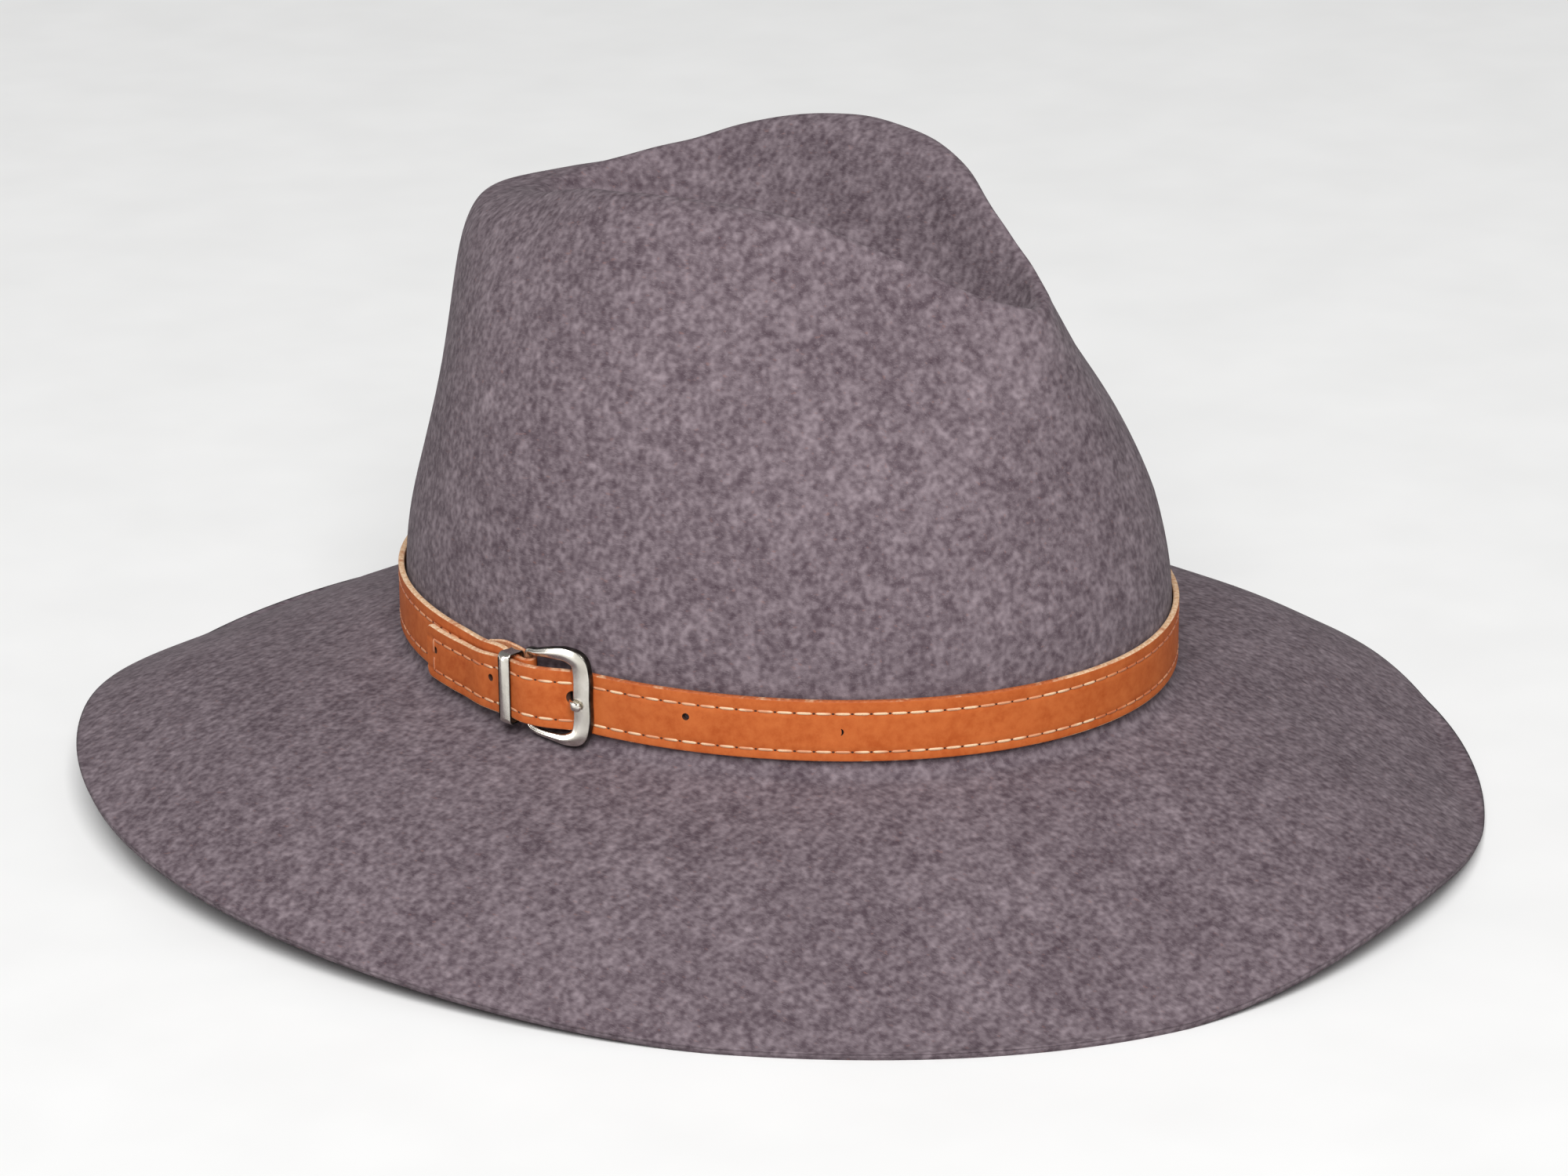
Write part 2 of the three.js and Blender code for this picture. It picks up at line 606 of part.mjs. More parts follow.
const felt = new THREE.MeshStandardMaterial({ color: 0x76696f, roughness: 1, metalness: 0 });
const leather = new THREE.MeshStandardMaterial({ color: 0xc46c3c, roughness: 0.75, metalness: 0 });
const nickel = new THREE.MeshStandardMaterial({ color: 0xc9c5bc, roughness: 0.35, metalness: 1 });

function sub(name, geometry, material) {
  const mesh = new THREE.Mesh(geometry, material);
  mesh.name = name;
  return mesh;
}

const hat = new THREE.Group();
hat.add(
  sub('felt_body', feltGeometry(), felt),
  sub('band_strap', strapGeometry(), leather),
  sub('buckle_frame', frameGeometry(), nickel),
  sub('buckle_prong', prongGeometry(), nickel),
  sub('keeper_loop', keeperGeometry(), nickel),
);

export default hat;
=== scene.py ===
"""A felt rancher hat with a stitched leather strap and a metal buckle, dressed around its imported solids.

Lengths are in millimetres and angles in degrees. MM turns lengths into metres where meshes are made. The
front of the hat points to -Y and the wearer's left to +X. Angles round the hat start at the front and grow
towards the wearer's left.
"""

import math

import bmesh
import bpy
import numpy as np
from mathutils import Matrix, Vector


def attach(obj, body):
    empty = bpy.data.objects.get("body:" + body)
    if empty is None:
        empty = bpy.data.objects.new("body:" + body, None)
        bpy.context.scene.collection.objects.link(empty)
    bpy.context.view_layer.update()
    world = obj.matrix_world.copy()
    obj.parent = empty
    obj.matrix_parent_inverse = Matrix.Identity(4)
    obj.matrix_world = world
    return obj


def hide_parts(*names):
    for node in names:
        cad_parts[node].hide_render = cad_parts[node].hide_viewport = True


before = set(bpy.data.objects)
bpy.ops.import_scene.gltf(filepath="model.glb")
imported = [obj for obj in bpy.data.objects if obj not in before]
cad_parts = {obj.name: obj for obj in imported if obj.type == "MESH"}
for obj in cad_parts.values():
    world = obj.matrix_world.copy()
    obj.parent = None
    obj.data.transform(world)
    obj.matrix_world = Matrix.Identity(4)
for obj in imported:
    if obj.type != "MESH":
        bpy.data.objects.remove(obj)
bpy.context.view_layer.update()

MM = 0.001

# Camera, aimed at a point above the middle of the hat
CAMERA_AZIMUTH = -55.5
CAMERA_ELEVATION = 20.4
CAMERA_ROLL = -0.4
CAMERA_DISTANCE = 1346.6
CAMERA_SIDE = -0.8
CAMERA_HEIGHT = 48.3
CAMERA_SENSOR = 36
CAMERA_LENS = 122.7
CAMERA_NEAR = 50
CAMERA_FAR = 30000

# Floor, a hair below the hat's lowest faces
FLOOR_HALF = 4000
FLOOR_DROP = 0.05

# Soft light from all round
WORLD_COLOUR = (0.98, 0.985, 1.0, 1)
WORLD_STRENGTH = 0.2

# Lights that face the hat: azimuth, elevation, distance, width and height in metres, power in watts, and
# whether they light dull surfaces or only show as highlights
LIGHT_COLUMNS = ("name", "azimuth", "elevation", "distance", "width", "height", "power", "lights_dull")
LIGHTS = [
    ("key", -57, 45, 6, 3.6, 3.6, 480, True),
    ("strip for the metal", -126, 6, 1.4, 0.45, 1, 14, False),
]

# Felt
FELT_THICKNESS = 2
FOOT_HEIGHT = 34.6
HEAD_HALF_WIDTH = 84.2
HEAD_HALF_LENGTH = 100.6
HEAD_TAPER = 0.028
PINCH_ANGLE = 38
PINCH_SPREAD = 20
FELT_COLUMNS = 288
EDGE_ROUND = 0.55

# Strap, laid on a bed that is an oval just outside the felt
BED_HALF_WIDTH = 85.05
BED_HALF_LENGTH = 101.35
STRAP_WIDTH = 15.5
STRAP_THICKNESS = 1.5
STRAP_ABOVE_FOOT = 3.45
STRAP_CENTRE = FOOT_HEIGHT + STRAP_ABOVE_FOOT + STRAP_WIDTH / 2
STRAP_STEP = 1.1
EDGE_RADIUS = 0.35
TAIL_ROUND = 2.2
SHARP_LEATHER = 48

# Where the strap has crept up the crown: angle, spread and height
STRAP_LIFTS = [(-122, 22, 0.75), (34, 18, 0.6)]

# Stitches: pitch along the strap, length, thread, needle holes, the groove that they pull into the leather,
# how far both rows lie in from the edges, and the row across the free end
STITCH_PITCH = 4.7
STITCH_LENGTH = 3.9
THREAD_WIDTH = 0.68
THREAD_HEIGHT = 0.36
NEEDLE_HOLE = 0.3
GROOVE_DEPTH = 0.16
GROOVE_SPREAD = 0.7
TOP_ROW_INSET = 3.3
BOTTOM_ROW_INSET = 2.5
TAIL_ROW_INSET = 4
TAIL_ROW_DROP = 0.4

# Where stitches start behind the buckle, and between which angles they have kept their cream colour. Angles
# keep falling along the strap, so its free end comes a full turn after the fold.
STITCHES_FROM = -107.5
CREAM_FROM = -467.5
CREAM_TO = -370

# The way towards both ends where the strap's edges are worn, and how far out wear starts and is complete
WORN_DIRECTION = (0.57, -0.82, 0)
WORN_FROM = 50
WORN_TO = 82

# Buckle and keeper
HINGE_ANGLE = -99.07
HINGE_OUT = 2.3
HINGE_RADIUS = 0.9
HINGE_GAP = 0.25
FOLD_THICKNESS = 1
FOLD_RAISE = 0.6
FRAME_ROUND = 0.55
FRAME_CROWN = 0.3
FRAME_STEPS = 216
INNER_SIDE = 1
OUTER_SIDE = -1
PRONG_THICKNESS = 1
PRONG_WIDTH = 2.4
PRONG_TURN = 300
PRONG_STEP = 0.35
PRONG_TIP_LENGTH = 2.2
PRONG_TIP_SHARE = 0.62
PRONG_TIP_ROUND = 0.35
SHARP_METAL = 50
KEEPER_ALONG = -4.1
KEEPER_WIDTH = 3.5
KEEPER_THICKNESS = 0.6
KEEPER_FACE_THICKNESS = 1.1
KEEPER_HALF_HEIGHT = 9.2
KEEPER_INNER_OUT = 1.15
KEEPER_OUTER_OUT = 7.2
KEEPER_CORNER = 1.9
KEEPER_INNER_CORNER = 0.7
KEEPER_ROUND = 0.25
KEEPER_CROWN = 0.55

# The brim's edge every 30 degrees from the front: how far it stands out, and how high its upper face lies
BRIM_EDGE_COLUMNS = ("name", "reach", "rise")
BRIM_EDGE = [
    ("front", 82.1, 8.5),
    ("left of front", 79, -2),
    ("front of left", 82.8, 4.4),
    ("left", 85, 1.6),
    ("back of left", 82.6, 0.7),
    ("left of back", 81.5, 0.7),
    ("back", 82.1, 0.7),
    ("right of back", 84.4, 12),
    ("back of right", 87, 11.4),
    ("right", 85, 6.5),
    ("front of right", 86, 1.5),
    ("right of front", 87.7, 1.2),
]

# Brim sections from the edge inwards: share of the reach and of the way up to the crown's foot, and how much
# the front (tilt), the left (side) and both ends (saddle) stand higher
BRIM_COLUMNS = ("name", "out", "up", "tilt", "side", "saddle")
BRIM_ROWS = [
    ("edge", 1, 0, 0, 0, 0),
    ("outer", 0.67, 0.47, -1.6, 1, -2.3),
    ("inner", 0.34, 0.74, 0, 0.3, -1.5),
    ("root", 0.05, 0.955, 0, 0, 0),
]

# Crown sections from the foot up, and down again into the dent: oval, its shift to the back and taper to the
# front, height above the foot, how much the front (tilt) and both ends (saddle) rise, a shorter wave, how far
# the front's two pinches go in and how much the four corners fill out
CROWN_COLUMNS = (
    "name", "half_width", "half_length", "shift", "taper", "height",
    "tilt", "saddle", "wave", "pinch", "full",
)
CROWN_ROWS = [
    ("foot", 84.2, 100.6, 0, 0.028, 0, 0, 0, 0, 0, 0),
    ("strap bed", 84.8, 100.9, 0, 0.028, 11, 0, 0, 0, 0, 0),
    ("lower wall", 83.9, 101.4, -0.3, 0.028, 31, 0, 0, 0, 0, 0),
    ("middle wall", 75.4, 89.5, -0.8, 0.072, 63, -3.6, 0, 0, 0.031, 0.011),
    ("upper wall", 62.7, 87.4, 3.8, 0.031, 93, -15.3, -1.7, 0, 0.066, -0.041),
    ("shoulder", 50.9, 79.8, 3.2, 0.17, 109.5, -5, -8.1, -1.5, 0.076, -0.093),
    ("rim", 44.1, 74.5, -0.5, 0.228, 116, -3.5, -10.7, -0.7, 0, -0.099),
    ("rim edge", 37.3, 70.5, -0.5, 0.228, 115.3, -3.5, -10.7, -0.7, 0, -0.05),
    ("dent wall", 29.5, 65, -0.5, 0.228, 107, -4, -9.5, -0.7, 0, 0),
    ("dent foot", 17.5, 56, 0, 0.22, 90, -6, -6, 0, 0, 0),
    ("dent floor", 0, 47, 0, 0, 88, -6, -3, 0, 0, 0),
]

# The dent's crease, counted in sections from the brim's edge
LAST_SECTION = len(BRIM_ROWS) + len(CROWN_ROWS) - 1

# Where the felt's faces are cut into rows, counted in sections from the brim's edge: (to, rows)
OUTER_CUTS = [(0.1, 3), (3, 34), (5, 16), (8, 30), (12, 56), (14, 22)]
INNER_CUTS = [(0.1, 3), (3, 16), (5, 8), (8, 12), (12, 22), (14, 10)]

# Slow unevenness of hand-blocked felt: depth, waves round the hat, waves per section, and phase
WAVE_COLUMNS = ("depth", "turns", "per_section", "phase")
FELT_WAVES = [
    (0.34, 3, 0.9, 0.4),
    (0.26, 5, -1.3, 2.1),
    (0.17, 8, 1.9, 4.0),
    (0.12, 13, -2.7, 1.3),
    (0.07, 21, 3.7, 5.2),
]

# The strap's path: along the bed from the hinge bar, out from the bed, above its usual height, thickness and
# width. First the end that is folded under the hinge bar, then back over it and down to the bed.
PATH_COLUMNS = ("along", "out", "up", "thick", "width")
FOLD_UNDER = [
    (-15.4, 0.55, 0.2, 0.7, 15.5),
    (-10, 0.55, 1.6, 0.8, 15.5),
    (-3, 0.55, 1.2, 0.8, 15.5),
]
FOLD_OVER = [
    (-1.2, 3.75, 0.6, 1.1, 15.5),
    (-2.35, 3.35, 0.5, 1.2, 15.5),
    (-4.1, 2.95, 0.5, 1.3, 15.5),
    (-5.85, 2.75, 0.6, 1.4, 15.5),
    (-8, 2.4, 1, 1.5, 15.5),
    (-11, 2.1, 0.9, 1.5, 15.5),
    (-15, 1.95, 0.5, 1.5, 15.5),
    (-18, 1.5, 0.2, 1.5, 15.5),
    (-22, 0.95, 0, 1.5, 15.5),
    (-27, 0.75, 0, 1.5, 15.5),
]
# Round the hat, then under the front bar, up over the hinge bar, through the keeper and on as the free end
BED_START = -118
BED_END = -448
BED_STEP = 5
FREE_END = [
    (18.9, 0.75, 0, 1.5, 15.5),
    (16.7, 0.75, 0, 1.5, 15.5),
    (14.6, 0.8, 0, 1.5, 15.5),
    (12.7, 1.6, 0, 1.5, 15.5),
    (10.7, 2.6, 0.1, 1.5, 15.5),
    (8.1, 3.8, 0.1, 1.5, 15.5),
    (5.4, 4.75, 0.1, 1.5, 15.4),
    (2.5, 5.35, 0.1, 1.5, 15.3),
    (0, 5.45, 0.1, 1.5, 15.2),
    (-2.35, 4.95, 0, 1.5, 15.1),
    (-4.1, 4.65, -0.1, 1.5, 15.1),
    (-5.85, 4.5, -0.3, 1.5, 15),
    (-8, 4.2, -0.5, 1.5, 14.9),
    (-11, 3.9, -0.85, 1.5, 14.7),
    (-15, 3.75, -1.2, 1.5, 14.4),
    (-18, 3.3, -1.45, 1.5, 14.2),
    (-22, 2.75, -1.65, 1.5, 14),
    (-27, 2.55, -1.85, 1.5, 13.9),
    (-34, 2.55, -1.95, 1.5, 13.8),
    (-41, 2.55, -1.95, 1.5, 13.8),
]

# Punched holes: angle, distance of the strap's middle from the bed there, height above the strap's middle
HOLE_RADIUS = 0.9
HOLE_MARGIN = 0.15
HOLE_COLUMNS = ("name", "angle", "out", "up")
STRAP_HOLES = [
    ("end of tail", -119.7, 2.55, -0.9),
    ("beside keeper", -105.1, 3.9, 0.5),
    ("first spare", -74.57, 0.75, 1.2),
]
# A fourth hole, only half punched: half the arc of its open crescent, and how narrow the crescent is
HALF_PUNCHED = {"angle": -53.1, "out": 0.75, "up": -0.1, "half_arc": 78, "inner_share": 0.4}
# The prong's hole has been pulled oval, and the slot in the fold lets the prong turn
PRONG_HOLE = {"along": 13.2, "up": 0.9, "half_length": 1.35, "half_height": 1.7, "outs": (0, 3.6)}
FOLD_SLOT = {"start": -2.6, "end": 2.9, "half_height": PRONG_WIDTH / 2 + 0.3, "outs": (-0.1, 4.55)}

# The buckle's frame, from the middle of its hinge bar over the top to its front bar and back below: along the
# strap, up from the strap's middle, distance from the bed, and the bar's width and thickness
FRAME_COLUMNS = ("along", "up", "out", "width", "thick")
FRAME_ROUTE = [
    (0, 0, 2.3, 1.8, 1.8),
    (0, 6, 2.3, 1.8, 1.8),
    (0, 9, 2.3, 1.8, 1.8),
    (0.8, 10.1, 2.6, 1.8, 1.9),
    (3.5, 10.6, 3, 2, 2),
    (8.2, 11.65, 3.3, 2.9, 2.1),
    (12.6, 12.2, 3.35, 3.6, 2.2),
    (15.9, 11.1, 3.2, 4.6, 2.3),
    (16.7, 8, 3, 4.8, 2.3),
    (16.7, 1.5, 2.95, 4.8, 2.3),
    (16.7, -4.5, 3, 4.8, 2.3),
    (15.8, -8.1, 3.25, 4.4, 2.3),
    (12.4, -9.7, 3.4, 3, 2.2),
    (7.6, -9.85, 3.3, 2.1, 2.1),
    (3.5, -9.8, 3, 1.9, 2),
    (0.8, -9.3, 2.6, 1.8, 1.9),
    (0, -8.3, 2.3, 1.8, 1.8),
    (0, -5, 2.3, 1.8, 1.8),
]

# The prong after its turn round the hinge bar: along the strap, distance from the bed
PRONG_ARM = [
    (2, 0.75),
    (6, 0.85),
    (10.4, 0.9),
    (11.7, 1.1),
    (12.6, 1.7),
    (13.4, 2.9),
    (14.2, 4.2),
    (15.2, 4.85),
    (17.3, 4.8),
]


def named(rows, names):
    """The rows of a table, each with its values by column name."""
    return [dict(zip(names, row)) for row in rows]


# Shapes of the felt


def brim_edge(column, angles):
    """A column of the brim's edge table at any angles, by a curve through its stations."""
    values = np.array([station[column] for station in named(BRIM_EDGE, BRIM_EDGE_COLUMNS)], float)
    count = len(values)
    place = np.mod(angles, 360) * count / 360
    first = np.floor(place).astype(int)
    t = place - first
    a, b, c, d = [values[(first + step) % count] for step in (-1, 0, 1, 2)]
    return b + 0.5 * t * (c - a + t * (2 * a - 5 * b + 4 * c - d + t * (3 * (b - c) + d - a)))


def brim_section(row, angles):
    turn = np.radians(angles)
    sine, cosine = np.sin(turn), np.cos(turn)
    outward = np.stack([sine * HEAD_HALF_LENGTH, -cosine * HEAD_HALF_WIDTH], -1)
    outward /= np.linalg.norm(outward, axis=-1, keepdims=True)
    reach = brim_edge("reach", angles) * row["out"]
    rise = brim_edge("rise", angles)
    x = HEAD_HALF_WIDTH * sine * (1 - HEAD_TAPER * cosine) + outward[..., 0] * reach
    y = -HEAD_HALF_LENGTH * cosine + outward[..., 1] * reach
    lean = row["tilt"] * cosine + row["side"] * sine + row["saddle"] * np.cos(2 * turn)
    return np.stack([x, y, rise + (FOOT_HEIGHT - rise) * row["up"] + lean], -1)


def crown_section(row, angles):
    turn = np.radians(angles)
    sine, cosine = np.sin(turn), np.cos(turn)
    off = (np.abs(np.mod(angles + 180, 360) - 180) - PINCH_ANGLE) / PINCH_SPREAD
    squeeze = 1 - row["pinch"] * np.exp(-off * off)
    fill = 1 + row["full"] * np.sin(2 * turn) ** 2
    x = row["half_width"] * sine * (1 - row["taper"] * cosine) * squeeze * fill
    y = row["shift"] - row["half_length"] * cosine * fill
    lift = row["tilt"] * cosine + row["saddle"] * np.cos(2 * turn) + row["wave"] * np.cos(3 * turn)
    return np.stack([x, y, FOOT_HEIGHT + row["height"] + lift], -1)


def felt_surface(angles, places):
    """Points of the felt's upper face, an array of places by angles."""
    sections = [brim_section(row, angles) for row in named(BRIM_ROWS, BRIM_COLUMNS)]
    sections += [crown_section(row, angles) for row in named(CROWN_ROWS, CROWN_COLUMNS)]
    sections = [2 * sections[0] - sections[1], *sections, 2 * sections[-1] - sections[-2]]
    controls = np.array(sections)
    first = np.minimum(np.floor(places).astype(int), len(controls) - 4)
    t = (places - first)[:, None, None]
    weights = [
        (1 - t) ** 3 / 6,
        (3 * t ** 3 - 6 * t ** 2 + 4) / 6,
        (-3 * t ** 3 + 3 * t ** 2 + 3 * t + 1) / 6,
        t ** 3 / 6,
    ]
    return sum(weight * controls[first + step] for step, weight in enumerate(weights))


def felt_normals(angles, places):
    turn_step = 0.5
    place_step = 0.01
    no_length = 1e-6
    low = np.maximum(places - place_step, 0)
    high = np.minimum(places + place_step, LAST_SECTION)
    around = felt_surface(angles + turn_step, places) - felt_surface(angles - turn_step, places)
    up = felt_surface(angles, high) - felt_surface(angles, low)
    normals = np.cross(around, up)
    if places[-1] >= LAST_SECTION:
        # The two sides of the dent meet here in one crease, whose normal lies in the hat's middle plane
        ends = np.array([LAST_SECTION], float)
        beside = felt_surface(angles, ends - place_step)[0] - felt_surface(angles, ends)[0]
        crease = np.cross(beside, around[-1])
        crease[crease[:, 2] < 0] *= -1
        crease[:, 0] = 0
        crease[np.linalg.norm(crease, axis=1) < no_length] = (0, 0, 1)
        normals[-1] = crease
    return normals / np.linalg.norm(normals, axis=-1, keepdims=True)


def unevenness(angles, places):
    """How far the felt stands out, except at its edge, at its crease and under the strap."""
    turn = np.radians(angles)[None, :]
    place = places[:, None]
    total = np.zeros((len(places), len(angles)))
    for wave in named(FELT_WAVES, WAVE_COLUMNS):
        total += wave["depth"] * np.sin(wave["turns"] * turn + wave["per_section"] * place + wave["phase"])
    strap_low, strap_high, strap_fade = 3.4, 5.9, 0.6
    edge_fade, crease_fade = 0.4, 1.0
    below_strap = np.clip((strap_low - place) / strap_fade, 0, 1)
    above_strap = np.clip((place - strap_high) / strap_fade, 0, 1)
    off_edge = np.clip(place / edge_fade, 0, 1)
    off_crease = np.clip((LAST_SECTION - place) / crease_fade, 0, 1)
    return total * (below_strap + above_strap) * off_edge * off_crease


def felt_faces(angles, places):
    """Upper and lower face of the felt, flattened where they would sink into the floor."""
    normals = felt_normals(angles, places)
    upper = felt_surface(angles, places) + normals * unevenness(angles, places)[..., None]
    lower = upper - normals * FELT_THICKNESS
    sunk = np.maximum(-lower[..., 2], 0)
    upper[..., 2] += sunk
    lower[..., 2] += sunk
    return upper, lower


def cut_places(cuts):
    places = [0.0]
    for to, rows in cuts:
        start = places[-1]
        places += [start + (to - start) * row / rows for row in range(1, rows + 1)]
    return np.array(places)


# Meshes


def add_object(name, data):
    made = bpy.data.objects.new(name, data)
    bpy.context.scene.collection.objects.link(made)
    return made


def ring_quads(rows, per_row, closed=False):
    """Faces between rows of points that each close in a ring."""
    row = np.arange(rows if closed else rows - 1)[:, None]
    column = np.arange(per_row)[None, :]
    after = (row + 1) % rows
    beside = (column + 1) % per_row
    here, there = row * per_row, after * per_row
    corners = [here + column, here + beside, there + beside, there + column]
    return np.stack([np.broadcast_to(c, (row.size, per_row)) for c in corners], -1).reshape(-1, 4)


def tube_faces(rows, per_row):
    """Faces between rows of points that each close in a ring, and the two faces that close both ends."""
    last = (rows - 1) * per_row
    ends = [list(range(per_row))[::-1], list(range(last, last + per_row))]
    return ring_quads(rows, per_row).tolist() + ends


def make_piece(name, points, faces, materials, face_materials=None, sharp_angle=None):
    """A mesh object from points in millimetres, with its faces turned outwards."""
    mesh = bpy.data.meshes.new(name)
    places = np.asarray(points).reshape(-1, 3) * MM
    mesh.from_pydata(places.tolist(), [], [list(map(int, face)) for face in faces])
    for material in materials:
        mesh.materials.append(material)
    if face_materials is not None:
        mesh.polygons.foreach_set("material_index", np.asarray(face_materials, np.int32))
    mesh.shade_smooth()
    if signed_volume(mesh) < 0:
        mesh.flip_normals()
    if sharp_angle is not None:
        mesh.set_sharp_from_angle(angle=math.radians(sharp_angle))
    mesh.update()
    return add_object(name, mesh)


def signed_volume(mesh):
    shape = bmesh.new()
    shape.from_mesh(mesh)
    volume = shape.calc_volume(signed=True)
    shape.free()
    return volume


def dress(piece, node):
    """Puts a piece on the hat's one body, in place of its solid if it has one."""
    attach(piece, "root")
    if node:
        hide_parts(node)


# Materials


class Shader:
    """A node material under construction; every texture is laid in object space, in millimetres."""

    def __init__(self, name):
        self.material = bpy.data.materials.new(name)
        self.material.use_nodes = True
        self.tree = self.material.node_tree
        self.surface = self.tree.nodes["Principled BSDF"]
        place = self.node("ShaderNodeTexCoord")
        scale = self.node("ShaderNodeVectorMath", operation="SCALE")
        scale.inputs["Scale"].default_value = 1 / MM
        self.link(place.outputs["Object"], scale.inputs[0])
        self.place = scale.outputs[0]

    def node(self, kind, **settings):
        made = self.tree.nodes.new(kind)
        for key, value in settings.items():
            setattr(made, key, value)
        return made

    def link(self, source, target):
        self.tree.links.new(source, target)

    def fill(self, node, **values):
        for key, value in values.items():
            node.inputs[key.replace("_", " ")].default_value = value

    def set(self, **values):
        self.fill(self.surface, **values)

    def stretched(self, scale, rotation):
        """A place that is scaled and turned, for noise that is longer one way."""
        mapping = self.node("ShaderNodeMapping")
        self.fill(mapping, Scale=scale, Rotation=[math.radians(angle) for angle in rotation])
        self.link(self.place, mapping.inputs["Vector"])
        return mapping.outputs[0]

    def noise(self, size, detail=2.0, roughness=0.5, distortion=0.0, place=None):
        """Noise whose blobs are about size millimetres across."""
        texture = self.node("ShaderNodeTexNoise")
        self.fill(texture, Scale=1 / size, Detail=detail, Roughness=roughness, Distortion=distortion)
        self.link(place or self.place, texture.inputs["Vector"])
        return texture.outputs["Fac"]

    def ramp(self, value, low, high, start=0.0, end=1.0):
        reach = self.node("ShaderNodeMapRange")
        self.fill(reach, From_Min=low, From_Max=high, To_Min=start, To_Max=end)
        self.link(value, reach.inputs["Value"])
        return reach.outputs[0]

    def math(self, operation, a, b):
        made = self.node("ShaderNodeMath", operation=operation)
        for index, value in enumerate((a, b)):
            if isinstance(value, (int, float)):
                made.inputs[index].default_value = value
            else:
                self.link(value, made.inputs[index])
        return made.outputs[0]

    def add(self, total, *values):
        for value in values:
            total = self.math("ADD", total, value)
        return total

    def part(self, value, share):
        return self.math("MULTIPLY", value, share)

    def between(self, value, low, high, a, b):
        """From colour a to colour b as a value goes from low to high."""
        return self.mix(self.ramp(value, low, high), a, b)

    def mix(self, share, a, b):
        made = self.node("ShaderNodeMix", data_type="RGBA")
        for index, value in ((0, share), (6, a), (7, b)):
            if isinstance(value, (int, float)):
                made.inputs[index].default_value = value
            elif isinstance(value, tuple):
                made.inputs[index].default_value = (*value, 1)
            else:
                self.link(value, made.inputs[index])
        return made.outputs[2]

    def colour(self, value):
        self.link(value, self.surface.inputs["Base Color"])

    def bump(self, height, distance, strength=1.0):
        """Bump from a height of 0 to 1 that stands for so many millimetres."""
        made = self.node("ShaderNodeBump")
        self.fill(made, Distance=distance * MM, Strength=strength)
        self.link(height, made.inputs["Height"])
        self.link(made.outputs[0], self.surface.inputs["Normal"])


def srgb(red, green, blue):
    """Linear colour from 8-bit sRGB numbers."""
    return tuple(
        (c / 255 / 12.92) if c / 255 <= 0.04045 else ((c / 255 + 0.055) / 1.055) ** 2.4
        for c in (red, green, blue)
    )


def felt_material():
    """Heathered grey-mauve wool felt: faint clouds, dark and light tufts, and short fibres over them."""
    shader = Shader("wool_felt")
    shader.set(Roughness=0.95, Sheen_Weight=0.04, Sheen_Roughness=0.5, Specular_IOR_Level=0.1)
    clouds = shader.noise(30, detail=3, roughness=0.6)
    blotches = shader.noise(7.5, detail=2, roughness=0.5, distortion=0.5)
    tufts = shader.noise(2.4, detail=0)
    specks = shader.noise(1.3, detail=0)
    layers = [((20, 35, 10), 1.5), ((-40, 15, 70), 1.3), ((70, -25, 130), 1.6)]
    slender = (2.6, 0.75, 2.6)
    light_fibres, dark_fibres = 0, 0
    for rotation, size in layers:
        streak = shader.noise(size, detail=1.5, distortion=1.2, place=shader.stretched(slender, rotation))
        light_fibres = shader.math("MAXIMUM", light_fibres, shader.ramp(streak, 0.58, 0.72))
        dark_fibres = shader.math("MAXIMUM", dark_fibres, shader.ramp(streak, 0.42, 0.28))
    tone = shader.add(
        shader.ramp(clouds, 0.3, 0.7, 0.355, 0.455),
        shader.ramp(blotches, 0.3, 0.7, -0.07, 0.07),
        shader.ramp(tufts, 0.25, 0.75, -0.13, 0.13),
        shader.ramp(specks, 0.25, 0.75, -0.14, 0.14),
    )
    share = shader.math("POWER", shader.ramp(tone, 0.0, 1.0), 1.5)
    base = shader.mix(share, srgb(72, 59, 66), srgb(160, 146, 152))
    rusty = shader.noise(1.7, detail=1, place=shader.stretched((2, 0.8, 2), (50, 10, 95)))
    base = shader.mix(shader.ramp(rusty, 0.68, 0.78, 0, 0.35), base, srgb(134, 98, 92))
    base = shader.mix(shader.part(dark_fibres, 0.12), base, srgb(50, 41, 50))
    base = shader.mix(shader.part(light_fibres, 0.16), base, srgb(158, 146, 151))
    shader.colour(base)
    height = shader.add(shader.part(tufts, 0.5), shader.part(specks, 0.3), shader.part(light_fibres, 0.3))
    shader.bump(height, 0.25, 0.4)
    return shader.material


def leather_material():
    """Soft tan-orange leather with a faint nap and uneven dye."""
    shader = Shader("strap_leather")
    shader.set(Roughness=0.75, Specular_IOR_Level=0.12)
    dye = shader.noise(11, detail=4, roughness=0.6, distortion=0.6)
    nap = shader.noise(2.2, detail=3, roughness=0.65)
    grain = shader.noise(0.4, detail=2)
    base = shader.between(dye, 0.3, 0.7, srgb(169, 80, 34), srgb(188, 99, 49))
    base = shader.mix(shader.ramp(nap, 0.42, 0.72, 0, 0.4), base, srgb(200, 114, 61))
    base = shader.mix(shader.ramp(nap, 0.42, 0.25, 0, 0.3), base, srgb(146, 58, 20))
    shader.colour(base)
    shader.bump(shader.add(shader.part(nap, 0.5), shader.part(grain, 0.35)), 0.1, 0.45)
    return shader.material


